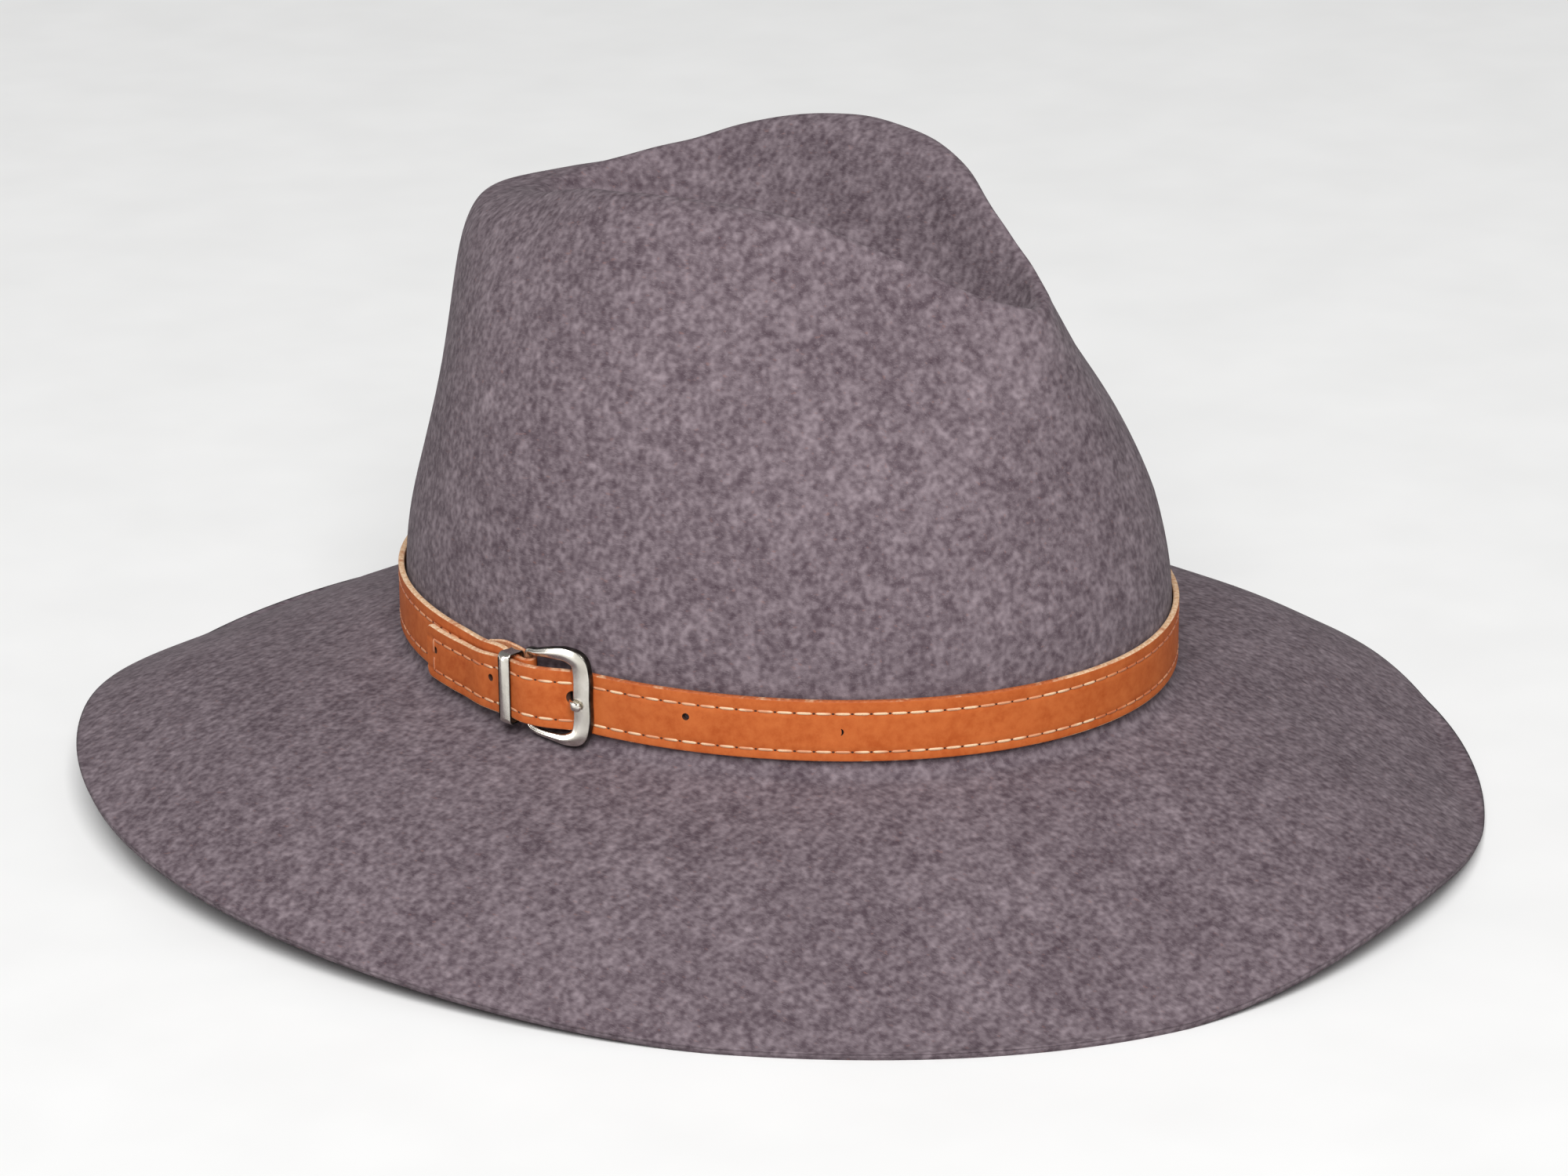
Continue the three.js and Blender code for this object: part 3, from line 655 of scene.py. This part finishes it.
def leather_edge_material():
    """The strap's cut edge: dyed in front, and rubbed down to the pale leather towards the hat's two ends."""
    shader = Shader("strap_edge")
    shader.set(Roughness=0.8)
    fibre = shader.noise(0.8, detail=3)
    side = shader.node("ShaderNodeVectorMath", operation="DOT_PRODUCT")
    side.inputs[1].default_value = WORN_DIRECTION
    shader.link(shader.place, side.inputs[0])
    off_middle = shader.math("ABSOLUTE", side.outputs["Value"], 0)
    towards_ends = shader.ramp(off_middle, WORN_FROM, WORN_TO, -0.14, 0.14)
    worn = shader.add(shader.noise(6, detail=3, roughness=0.6), towards_ends)
    dyed = shader.between(fibre, 0.35, 0.7, srgb(154, 72, 28), srgb(180, 96, 46))
    pale = shader.between(fibre, 0.35, 0.7, srgb(198, 152, 112), srgb(226, 198, 166))
    shader.colour(shader.between(worn, 0.42, 0.58, dyed, pale))
    shader.bump(fibre, 0.1, 0.5)
    return shader.material


def leather_back_material():
    """The strap's flesh side."""
    shader = Shader("strap_back")
    shader.set(Roughness=0.9)
    nap = shader.noise(0.9, detail=4)
    shader.colour(shader.between(nap, 0.3, 0.7, srgb(160, 96, 58), srgb(188, 128, 86)))
    shader.bump(nap, 0.1, 0.6)
    return shader.material


def thread_material(name, dyed, plain):
    """Waxed thread between two colours, with the slant of its twist."""
    shader = Shader(name)
    shader.set(Roughness=0.6, Sheen_Weight=0.1)
    tone = shader.noise(8, detail=1)
    twist = shader.noise(0.3, detail=1, place=shader.stretched((1, 1, 2.5), (0, 35, 0)))
    base = shader.between(tone, 0.42, 0.56, dyed, plain)
    base = shader.mix(shader.ramp(twist, 0.5, 0.7, 0, 0.35), base, srgb(186, 124, 86))
    shader.colour(base)
    shader.bump(twist, 0.08, 0.6)
    return shader.material


def painted_hole_shade_material():
    """Dark brown painted shade for the insides of the needle holes, and for the walls of the punched holes,
    the prong's hole and the slot in the fold.
    """
    shader = Shader("painted_hole_shade")
    shader.set(Roughness=0.9)
    grain = shader.noise(0.3, detail=1)
    # Painted shade: the dark inside of a hole
    shader.colour(shader.mix(grain, srgb(52, 26, 14), srgb(76, 38, 20)))
    return shader.material


def nickel_material():
    """Satin nickel plate with fine handling marks."""
    shader = Shader("satin_nickel")
    shader.set(Metallic=1.0)
    haze = shader.noise(3, detail=3)
    marks = shader.noise(0.5, detail=2, place=shader.stretched((1, 1, 9), (0, 20, 35)))
    shader.colour(shader.between(haze, 0.35, 0.7, srgb(212, 207, 196), srgb(232, 228, 219)))
    shader.link(shader.ramp(marks, 0.35, 0.75, 0.2, 0.28), shader.surface.inputs["Roughness"])
    shader.bump(marks, 0.02, 0.4)
    return shader.material


def patina_painted_shade_material():
    """Nickel painted dark on the side faces of the bars: patina where polishing doesn't reach, deepened by
    painted shade and a painted dark reflection.
    """
    shader = Shader("patina_painted_shade_nickel")
    shader.set(Metallic=1.0, Roughness=0.42)
    haze = shader.noise(2, detail=3)
    # The side faces' dark colour: patina, with painted shade and a painted dark reflection in it
    shader.colour(shader.between(haze, 0.35, 0.7, srgb(48, 45, 43), srgb(92, 88, 82)))
    return shader.material


def floor_material():
    shader = Shader("pale_floor")
    shader.set(Roughness=0.85)
    grain = shader.noise(40, detail=2)
    shader.colour(shader.between(grain, 0.3, 0.7, srgb(240, 240, 239), srgb(244, 244, 243)))
    return shader.material


# Camera, floor and light


def direction(azimuth, elevation):
    """Towards a viewer at this azimuth, measured from the front of the hat towards +X, and elevation."""
    a, e = math.radians(azimuth), math.radians(elevation)
    return Vector((math.sin(a) * math.cos(e), -math.cos(a) * math.cos(e), math.sin(e)))


def make_camera():
    back = direction(CAMERA_AZIMUTH, CAMERA_ELEVATION)
    right = Vector((0, 0, 1)).cross(back).normalized()
    up = back.cross(right)
    target = Vector((0, 0, CAMERA_HEIGHT)) + right * CAMERA_SIDE
    roll = math.radians(CAMERA_ROLL)
    camera = add_object("camera", bpy.data.cameras.new("camera"))
    axes = (right * math.cos(roll) + up * math.sin(roll), up * math.cos(roll) - right * math.sin(roll), back)
    turned = Matrix(axes).transposed().to_4x4()
    camera.matrix_world = Matrix.Translation((target + back * CAMERA_DISTANCE) * MM) @ turned
    camera.data.sensor_fit = "HORIZONTAL"
    camera.data.sensor_width = CAMERA_SENSOR
    camera.data.lens = CAMERA_LENS
    camera.data.clip_start = CAMERA_NEAR * MM
    camera.data.clip_end = CAMERA_FAR * MM
    bpy.context.scene.camera = camera


def make_floor():
    sides = [(-1, -1), (1, -1), (1, 1), (-1, 1)]
    corners = [(x * FLOOR_HALF * MM, y * FLOOR_HALF * MM, -FLOOR_DROP * MM) for x, y in sides]
    mesh = bpy.data.meshes.new("floor")
    mesh.from_pydata(corners, [], [(0, 1, 2, 3)])
    mesh.materials.append(floor_material())
    add_object("floor", mesh)


def make_light(name, azimuth, elevation, distance, width, height, power, lights_dull):
    light = add_object(name, bpy.data.lights.new(name, "AREA"))
    light.visible_camera = False
    light.visible_diffuse = lights_dull
    light.data.shape = "RECTANGLE"
    light.data.size = width
    light.data.size_y = height
    light.data.energy = power
    towards = direction(azimuth, elevation)
    light.location = towards * distance + Vector((0, 0, CAMERA_HEIGHT * MM))
    light.rotation_euler = towards.to_track_quat("Z", "Y").to_euler()


def make_studio():
    world = bpy.data.worlds.new("studio")
    world.use_nodes = True
    background = world.node_tree.nodes["Background"]
    background.inputs["Color"].default_value = WORLD_COLOUR
    background.inputs["Strength"].default_value = WORLD_STRENGTH
    bpy.context.scene.world = world
    for light in named(LIGHTS, LIGHT_COLUMNS):
        make_light(**light)
    view = bpy.context.scene.view_settings
    view.view_transform = "Standard"
    view.look = "None"


# The felt


def make_felt():
    angles = np.arange(FELT_COLUMNS) * 360 / FELT_COLUMNS
    outer, _ = felt_faces(angles, cut_places(OUTER_CUTS))
    _, inner = felt_faces(angles, cut_places(INNER_CUTS))
    edge = rounded_edge(outer[0], inner[0])
    rows = np.concatenate([outer[::-1], edge, inner])
    faces = ring_quads(len(rows), FELT_COLUMNS)
    piece = make_piece("felt_hat", rows, faces, [felt_material()])
    weld(piece)
    dress(piece, "felt_body")


def rounded_edge(upper, lower):
    """Rows between the two faces, drawn in towards both corners as the edge of cut felt is."""
    fullness = 0.6
    around = np.roll(upper, -1, 0) - np.roll(upper, 1, 0)
    outward = np.cross(around, upper - lower)
    outward /= np.linalg.norm(outward, axis=-1, keepdims=True)
    middle = (upper + lower) / 2
    if ((outward * (middle * (1, 1, 0))).sum(-1) < 0).mean() > 0.5:
        outward = -outward
    rows = []
    for share in (0.12, 0.32, 0.5, 0.68, 0.88):
        bulge = EDGE_ROUND * math.sin(math.pi * share) ** fullness - EDGE_ROUND
        rows.append(upper + (lower - upper) * share + outward * bulge)
    return np.array(rows)


def weld(piece):
    """Joins the points where both sides of the dent's crease meet, and drops what has no area."""
    same_place = 0.01 * MM
    no_length = 0.005 * MM
    shape = bmesh.new()
    shape.from_mesh(piece.data)
    bmesh.ops.remove_doubles(shape, verts=shape.verts, dist=same_place)
    bmesh.ops.dissolve_degenerate(shape, edges=shape.edges, dist=no_length)
    shape.to_mesh(piece.data)
    shape.free()


# The strap


def strap_lift(angle):
    """How much higher than its usual place the strap sits at an angle."""
    total = 0
    for at, spread, height in STRAP_LIFTS:
        off = (np.mod(angle - at + 180, 360) - 180) / spread
        total = total + height * np.exp(-off * off)
    return total


def bed_points(angle, out, up):
    """Points in the strap's own frame: angle round the hat, distance from the bed, height from its middle."""
    turn = np.radians(angle)
    sine, cosine = np.sin(turn), np.cos(turn)
    x = BED_HALF_WIDTH * sine * (1 - HEAD_TAPER * cosine)
    y = -BED_HALF_LENGTH * cosine
    along_x = BED_HALF_WIDTH * (cosine - HEAD_TAPER * np.cos(2 * turn))
    along_y = BED_HALF_LENGTH * sine
    length = np.hypot(along_x, along_y)
    z = STRAP_CENTRE + strap_lift(angle) + up
    return np.stack(np.broadcast_arrays(x + out * along_y / length, y - out * along_x / length, z), -1)


HINGE_SPAN = bed_points(np.array([HINGE_ANGLE - 0.5, HINGE_ANGLE + 0.5]), 0, 0)
ALONG_PER_DEGREE = float(np.linalg.norm(HINGE_SPAN[1] - HINGE_SPAN[0]))


def angle_at(along):
    return HINGE_ANGLE + along / ALONG_PER_DEGREE


def path_stations(rows, turn):
    """Angle, out, up, thickness and width at each row of a path table, a turn further round."""
    return [
        (angle_at(row["along"]) + turn, row["out"], row["up"], row["thick"], row["width"])
        for row in named(rows, PATH_COLUMNS)
    ]


def strap_stations():
    """Angle, out, up, thickness and width along the strap, from its folded end to its free end."""
    fold_middle = HINGE_RADIUS + HINGE_GAP + FOLD_THICKNESS / 2
    turn_steps = 6
    stations = path_stations(FOLD_UNDER, 0)
    for step in range(turn_steps + 1):
        turn = math.pi * step / turn_steps
        angle = angle_at(fold_middle * math.sin(turn))
        out = HINGE_OUT - fold_middle * math.cos(turn)
        stations.append((angle, out, FOLD_RAISE, FOLD_THICKNESS, STRAP_WIDTH))
    stations += path_stations(FOLD_OVER, 0)
    for angle in np.arange(BED_START, BED_END - 1, -BED_STEP):
        stations.append((angle, STRAP_THICKNESS / 2, 0, STRAP_THICKNESS, STRAP_WIDTH))
    stations += path_stations(FREE_END, -360)
    return np.array(stations, float)


def hermite(t, start, start_slope, end, end_slope):
    """Points a share t of the way along curves that leave and arrive with these slopes."""
    return (
        (2 * t ** 3 - 3 * t ** 2 + 1) * start + (t ** 3 - 2 * t ** 2 + t) * start_slope
        + (-2 * t ** 3 + 3 * t ** 2) * end + (t ** 3 - t ** 2) * end_slope
    )


def smooth_path(stations, step, end_round=0.0):
    """Samples along a smooth curve through the stations, closer over a rounded end, and each one's reach."""
    flat = np.stack([stations[:, 0] * ALONG_PER_DEGREE, stations[:, 1]], -1)
    chords = np.linalg.norm(np.diff(flat, axis=0), axis=1)
    knots = np.concatenate([[0], np.cumsum(chords)])
    slopes = np.gradient(stations, knots, axis=0)
    end = knots[-1] - end_round
    reach = np.linspace(0, end, max(int(round(end / step)), 2) + 1)
    if end_round:
        turn = np.radians(np.arange(15, 91, 15))
        reach = np.concatenate([reach, end + end_round * np.sin(turn)])
    index = np.clip(np.searchsorted(knots, reach, side="right") - 1, 0, len(knots) - 2)
    width = (knots[index + 1] - knots[index])[:, None]
    t = (reach - knots[index])[:, None] / width
    start_slope, end_slope = slopes[index] * width, slopes[index + 1] * width
    return hermite(t, stations[index], start_slope, stations[index + 1], end_slope), reach


# The strap's materials, in the order of its slots
FACE, RAW, BACK, PUNCHED = range(4)


def strap_section():
    """The strap's rounded section: side, share of its half height, distance in from there, and material."""
    face_points, back_points = 39, 9

    def edge(side, level):
        corner = [(side * math.cos(c), level, level * EDGE_RADIUS * math.sin(c), RAW) for c in turns]
        return corner + [(-across, *rest) for across, *rest in corner[::-1]]

    turns = np.radians([22.5, 45, 67.5])
    face = [(-1.0, level, 0, FACE) for level in np.linspace(1, -1, face_points)]
    back = [(1.0, level, 0, BACK) for level in np.linspace(-1, 1, back_points)]
    return face + edge(-1, -1) + back + edge(1, 1)


def strap_frame(samples):
    """Middle points of the strap, the way along it, and the way across its thickness, towards its back."""
    angle, out, up = samples.T[:3]
    middles = bed_points(angle, out, up)
    along = np.gradient(middles * (1, 1, 0), axis=0)
    along /= np.linalg.norm(along, axis=1, keepdims=True)
    across = np.stack([along[:, 1], -along[:, 0], np.zeros(len(along))], -1)
    return middles, along, across


def stitch_rows(width):
    """Heights of the two rows of stitches above the strap's middle."""
    return width / 2 - TOP_ROW_INSET, BOTTOM_ROW_INSET - width / 2


def groove_depth(level, width):
    """How deep the thread pulls the leather in, beside each row of stitches."""
    return sum(GROOVE_DEPTH * np.exp(-((level - row) / GROOVE_SPREAD) ** 2) for row in stitch_rows(width))


def tail_height(width, reach):
    """Half the strap's height at each sample, with the corners of its free end rounded."""
    into_round = np.clip(reach - (reach[-1] - TAIL_ROUND), 0, TAIL_ROUND)
    cut_away = TAIL_ROUND - np.sqrt(np.maximum(TAIL_ROUND ** 2 - into_round ** 2, 0))
    return width / 2 - cut_away


def make_strap(leather, raw, back, hole):
    samples, reach = smooth_path(strap_stations(), STRAP_STEP, TAIL_ROUND)
    middles, _, across = strap_frame(samples)
    thick, width = samples.T[3:]
    half_height = tail_height(width, reach)
    section = strap_section()
    rows = np.zeros((len(samples), len(section), 3))
    for column, (side, share, beyond, kind) in enumerate(section):
        level = share * (half_height - EDGE_RADIUS) + beyond
        offset = side * thick / 2
        if kind == FACE:
            offset = offset + groove_depth(level, width)
        rows[:, column] = middles + across * offset[:, None]
        rows[:, column, 2] += level
    kinds = [point[3] for point in section]
    kinds = [here if here == after else RAW for here, after in zip(kinds, kinds[1:] + kinds[:1])]
    kinds = kinds * (len(rows) - 1) + [RAW, RAW]
    materials = [leather, raw, back, hole]
    piece = make_piece("leather_strap", rows, tube_faces(len(rows), len(section)), materials, kinds)
    cut(piece, strap_cutters(materials))
    piece.data.set_sharp_from_angle(angle=math.radians(SHARP_LEATHER))
    dress(piece, "band_strap")


def through(out):
    """From just inside the strap to just outside it."""
    half = STRAP_THICKNESS / 2 + HOLE_MARGIN
    return out - half, out + half


def crescent():
    """The outline of the half punched hole, along and up from its middle."""
    arc = np.radians(np.linspace(-HALF_PUNCHED["half_arc"], HALF_PUNCHED["half_arc"], 13))
    along = np.concatenate([np.cos(arc), HALF_PUNCHED["inner_share"] * np.cos(arc[::-1])])
    up = np.concatenate([np.sin(arc), np.sin(arc[::-1])])
    return HOLE_RADIUS * along, HALF_PUNCHED["up"] + HOLE_RADIUS * up


def strap_cutters(materials):
    """Closed shapes that cut the punched holes, the prong's hole and the slot in the fold."""
    turn = np.linspace(0, 2 * np.pi, 24, endpoint=False)
    round_along, round_up = np.cos(turn), np.sin(turn)
    cutters = []

    def add(name, angle, outs, along, up):
        """A cutter with this outline along and up from a place, between two distances out."""
        rows = np.array([bed_points(angle + along / ALONG_PER_DEGREE, out, up) for out in outs])
        faces = tube_faces(*rows.shape[:2])
        # The cutters' faces become the walls of the holes and the slot, coloured with the painted hole shade
        cutters.append(make_piece(name, rows, faces, materials, [PUNCHED] * len(faces)))

    for hole in named(STRAP_HOLES, HOLE_COLUMNS):
        up = hole["up"] + HOLE_RADIUS * round_up
        add(hole["name"], hole["angle"], through(hole["out"]), HOLE_RADIUS * round_along, up)
    add("half punched", HALF_PUNCHED["angle"], through(HALF_PUNCHED["out"]), *crescent())
    along = PRONG_HOLE["along"] + PRONG_HOLE["half_length"] * round_along
    up = PRONG_HOLE["up"] + PRONG_HOLE["half_height"] * round_up
    add("prong hole", HINGE_ANGLE, PRONG_HOLE["outs"], along, up)
    along = np.array([FOLD_SLOT[end] for end in ("start", "end", "end", "start")])
    up = FOLD_SLOT["half_height"] * np.array([-1, -1, 1, 1])
    add("fold slot", HINGE_ANGLE, FOLD_SLOT["outs"], along, up)
    return cutters


def cut(piece, cutters):
    """Takes the cutters' shapes out of a piece, and removes the cutters."""
    for cutter in cutters:
        tool = piece.modifiers.new("cut", "BOOLEAN")
        tool.operation = "DIFFERENCE"
        tool.solver = "EXACT"
        tool.object = cutter
    graph = bpy.context.evaluated_depsgraph_get()
    result = bpy.data.meshes.new_from_object(piece.evaluated_get(graph))
    piece.modifiers.clear()
    old = piece.data
    piece.data = result
    result.name = old.name
    bpy.data.meshes.remove(old)
    for cutter in cutters:
        mesh = cutter.data
        bpy.data.objects.remove(cutter)
        bpy.data.meshes.remove(mesh)


# The stitches


# Their materials, in the order of the slots
CREAM, WORN, NEEDLE = range(3)


def stitch_shape(centre, along, upright, outward):
    """One stitch that rises out of the leather and dives back at both ends."""
    sides, rings = 8, 9
    blunt, sunk = 0.02, 0.35
    rows = []
    for ring in range(rings):
        share = -1 + 2 * ring / (rings - 1)
        swell = math.sqrt(max(1 - abs(share) ** 5, blunt))
        lift = THREAD_HEIGHT * (0.5 * (1 - share ** 6) - sunk)
        for side in range(sides):
            turn = 2 * math.pi * side / sides
            across = THREAD_WIDTH / 2 * swell * math.cos(turn)
            out = lift + THREAD_HEIGHT / 2 * (0.5 + 0.5 * swell) * math.sin(turn)
            rows.append(centre + along * share * STITCH_LENGTH / 2 + upright * across + outward * out)
    return np.array(rows), tube_faces(rings, sides)


def needle_hole_shade_disc(centre, along, upright, outward):
    """A small flat disc just above the leather between two stitches, dark with painted shade where a needle
    hole is.
    """
    sides = 8
    above_face, longer = 0.02, 1.2
    turn = 2 * np.pi * np.arange(sides)[:, None] / sides
    ring = NEEDLE_HOLE * (np.cos(turn) * along * longer + np.sin(turn) * upright)
    return centre + outward * above_face + ring, [list(range(sides))]


def make_stitches(cream, worn, hole):
    samples, reach = smooth_path(strap_stations(), STRAP_STEP, TAIL_ROUND)
    angle, _, _, thick, width = samples.T
    middles, along, across = strap_frame(samples)
    upright = np.array([0, 0, 1.0])
    first = reach[np.searchsorted(-angle, -STITCHES_FROM)]
    tail_row = reach[-1] - TAIL_ROW_INSET
    points, faces, kinds = [], [], []

    def vector_at(vectors, at):
        return np.array([np.interp(at, reach, column) for column in vectors.T])

    def add(shape, kind, at, level, run, rise):
        onward, outward = vector_at(along, at), -vector_at(across, at)
        out = np.interp(at, reach, thick) / 2 - groove_depth(level, np.interp(at, reach, width))
        face = vector_at(middles, at) + outward * out + upright * level
        way, side = onward * run + upright * rise, upright * run - onward * rise
        made, quads = shape(face, way, side, outward)
        start = sum(len(part) for part in points)
        points.append(made)
        faces.extend([[start + corner for corner in quad] for quad in quads])
        kinds.extend([kind] * len(quads))

    for at in np.arange(first, tail_row - STITCH_LENGTH / 2, STITCH_PITCH):
        in_front = CREAM_FROM < np.interp(at, reach, angle) < CREAM_TO
        for level in stitch_rows(np.interp(at, reach, width)):
            add(stitch_shape, CREAM if in_front else WORN, at, level, 1, 0)
            # A flat dark disc of painted shade stands for each needle hole
            add(needle_hole_shade_disc, NEEDLE, at + STITCH_PITCH / 2, level, 1, 0)
    for side in (1, -1):
        add(stitch_shape, WORN, tail_row, side * STITCH_PITCH / 2 - TAIL_ROW_DROP, 0, 1)
    piece = make_piece("strap_stitches", np.concatenate(points), faces, [cream, worn, hole], kinds)
    dress(piece, None)


# The buckle


def closed_curve(points, count):
    """A centripetal curve through points that closes on itself, with the tangent at each sample."""
    points = np.asarray(points, float)
    total = len(points)
    place = np.arange(count) * total / count
    index = np.floor(place).astype(int)
    t = (place - index)[:, None]
    p0, p1, p2, p3 = [points[(index + step) % total] for step in (-1, 0, 1, 2)]

    def interval(a, b):
        return np.linalg.norm(b[:, :3] - a[:, :3], axis=1)[:, None] ** 0.5

    d0, d1, d2 = interval(p0, p1), interval(p1, p2), interval(p2, p3)
    m1 = ((p1 - p0) / d0 - (p2 - p0) / (d0 + d1) + (p2 - p1) / d1) * d1
    m2 = ((p2 - p1) / d1 - (p3 - p1) / (d1 + d2) + (p3 - p2) / d2) * d1
    curve = hermite(t, p1, m1, p2, m2)
    tangent = np.roll(curve, -1, 0) - np.roll(curve, 1, 0)
    return curve, tangent


def bar_profile(width, thick, round_by, crown):
    """A flat bar's section with rounded corners and a crowned outer face, for each width and thickness."""
    corners = [(1, 1, 0), (-1, 1, 90), (-1, -1, 180), (1, -1, 270)]
    rows = []
    for (a, b, start), (next_a, next_b, _) in zip(corners, corners[1:] + corners[:1]):
        for turn in np.radians(start + np.linspace(0, 90, 6)):
            rows.append((a, b, math.cos(turn), math.sin(turn)))
        for share in (0.25, 0.5, 0.75):
            rows.append((a + (next_a - a) * share, b + (next_b - b) * share, math.cos(turn), math.sin(turn)))
    a, b, cosine, sine = np.array(rows).T
    across = a * (width / 2 - round_by) + round_by * cosine
    out = b * (thick / 2 - round_by) + round_by * sine
    return across, out - np.where(b > 0, b, 0) * crown * a ** 2


def bar_materials(rows, dark_sides):
    """Patina with painted shade on the chosen flat sides of a bar and nickel on the rest, face by face."""
    corner_before, corner_after, flat_faces = 2, 3, 4
    kinds = []
    for before, side in ((1, 0), (0, -1), (-1, 0), (0, 1)):
        kinds += [int(before in dark_sides)] * corner_before
        kinds += [int(side in dark_sides)] * (corner_after + flat_faces)
    return kinds * rows


def make_frame(nickel, patina_painted_shade):
    curve, tangent = closed_curve(FRAME_ROUTE, FRAME_STEPS)
    along, up, out, width, thick = np.split(curve, len(FRAME_COLUMNS), axis=1)
    side = np.stack([tangent[:, 1], -tangent[:, 0]], -1)
    side /= np.linalg.norm(side, axis=1, keepdims=True)
    across, deep = bar_profile(width, thick, FRAME_ROUND, FRAME_CROWN)
    points = bed_points(angle_at(along + side[:, 0:1] * across), out + deep, up + side[:, 1:2] * across)
    faces = ring_quads(len(points), points.shape[1], closed=True)
    # The frame's outer side faces get the patina with painted shade
    kinds = bar_materials(len(points), (OUTER_SIDE,))
    piece = make_piece("buckle_ring", points, faces, [nickel, patina_painted_shade], kinds)
    dress(piece, "buckle_frame")


def prong_route():
    """Along and out, once nearly round the hinge bar and on along the arm."""
    middle = HINGE_RADIUS + HINGE_GAP + PRONG_THICKNESS / 2
    steps = 24
    route = []
    for step in range(steps + 1):
        turn = math.radians(-90 - PRONG_TURN * (1 - step / steps))
        route.append((middle * math.cos(turn), HINGE_OUT + middle * math.sin(turn)))
    return np.array(route + PRONG_ARM)


def make_prong(nickel):
    route = prong_route()
    stations = np.column_stack([route[:, 0] / ALONG_PER_DEGREE, route[:, 1]])
    samples, reach = smooth_path(stations, PRONG_STEP)
    along, out = samples[:, 0:1] * ALONG_PER_DEGREE, samples[:, 1:2]
    tangent = np.gradient(np.concatenate([along, out], 1), axis=0)
    tangent /= np.linalg.norm(tangent, axis=1, keepdims=True)
    sides = 16
    flat_power, deep_power = 0.6, 0.7
    turn = np.linspace(0, 2 * np.pi, sides, endpoint=False)
    flat = np.sign(np.cos(turn)) * np.abs(np.cos(turn)) ** flat_power
    deep = np.sign(np.sin(turn)) * np.abs(np.sin(turn)) ** deep_power
    from_tip = (reach[-1] - reach)[:, None]
    narrowing = np.clip(from_tip / PRONG_TIP_LENGTH, 0, 1) ** 0.5
    shrink = PRONG_TIP_SHARE + (1 - PRONG_TIP_SHARE) * narrowing
    tip_round = np.clip(from_tip / PRONG_TIP_ROUND, 0.25, 1)
    thick = PRONG_THICKNESS / 2 * tip_round * deep
    points = bed_points(
        angle_at(along - tangent[:, 1:2] * thick),
        out + tangent[:, 0:1] * thick,
        PRONG_WIDTH / 2 * shrink * tip_round * flat,
    )
    faces = tube_faces(len(points), sides)
    piece = make_piece("buckle_pin", points, faces, [nickel], sharp_angle=SHARP_METAL)
    dress(piece, "buckle_prong")


def keeper_outline(inner_out, outer_out, half_height, corner):
    """One outline of the keeper as a loop, in distance out and height."""
    steps = 8
    places = []
    corners = [(outer_out, -1, 1), (inner_out, 1, 1), (inner_out, 1, -1), (outer_out, -1, -1)]
    for quarter, (face, inward, side) in enumerate(corners):
        for turn in np.radians(90 * quarter + 90 * np.arange(steps + 1) / steps):
            places.append((
                face + inward * corner + corner * math.cos(turn),
                side * (half_height - corner) + corner * math.sin(turn),
            ))
    return np.array(places)


def make_keeper(nickel, patina_painted_shade):
    outside = keeper_outline(KEEPER_INNER_OUT, KEEPER_OUTER_OUT, KEEPER_HALF_HEIGHT, KEEPER_CORNER)
    inside = keeper_outline(
        KEEPER_INNER_OUT + KEEPER_THICKNESS,
        KEEPER_OUTER_OUT - KEEPER_FACE_THICKNESS,
        KEEPER_HALF_HEIGHT - KEEPER_THICKNESS,
        KEEPER_INNER_CORNER,
    )
    middle = (outside + inside) / 2
    thick = np.linalg.norm(outside - inside, axis=1, keepdims=True)
    way_out = (outside - inside) / thick
    crown = KEEPER_CROWN * (thick - KEEPER_THICKNESS) / (KEEPER_FACE_THICKNESS - KEEPER_THICKNESS)
    across, deep = bar_profile(KEEPER_WIDTH, thick, KEEPER_ROUND, crown)
    points = bed_points(
        angle_at(KEEPER_ALONG + across),
        middle[:, 0:1] + way_out[:, 0:1] * deep,
        middle[:, 1:2] + way_out[:, 1:2] * deep,
    )
    faces = ring_quads(len(points), points.shape[1], closed=True)
    # Both side faces of the keeper get the patina with painted shade
    kinds = bar_materials(len(points), (INNER_SIDE, OUTER_SIDE))
    piece = make_piece("keeper_ring", points, faces, [nickel, patina_painted_shade], kinds)
    dress(piece, "keeper_loop")


def main():
    make_camera()
    make_floor()
    make_studio()
    make_felt()
    hole = painted_hole_shade_material()
    make_strap(leather_material(), leather_edge_material(), leather_back_material(), hole)
    cream = thread_material("cream_thread", srgb(198, 138, 100), srgb(220, 188, 152))
    worn = thread_material("worn_thread", srgb(176, 94, 48), srgb(198, 132, 88))
    make_stitches(cream, worn, hole)
    nickel, patina_painted_shade = nickel_material(), patina_painted_shade_material()
    make_frame(nickel, patina_painted_shade)
    make_prong(nickel)
    make_keeper(nickel, patina_painted_shade)


main()
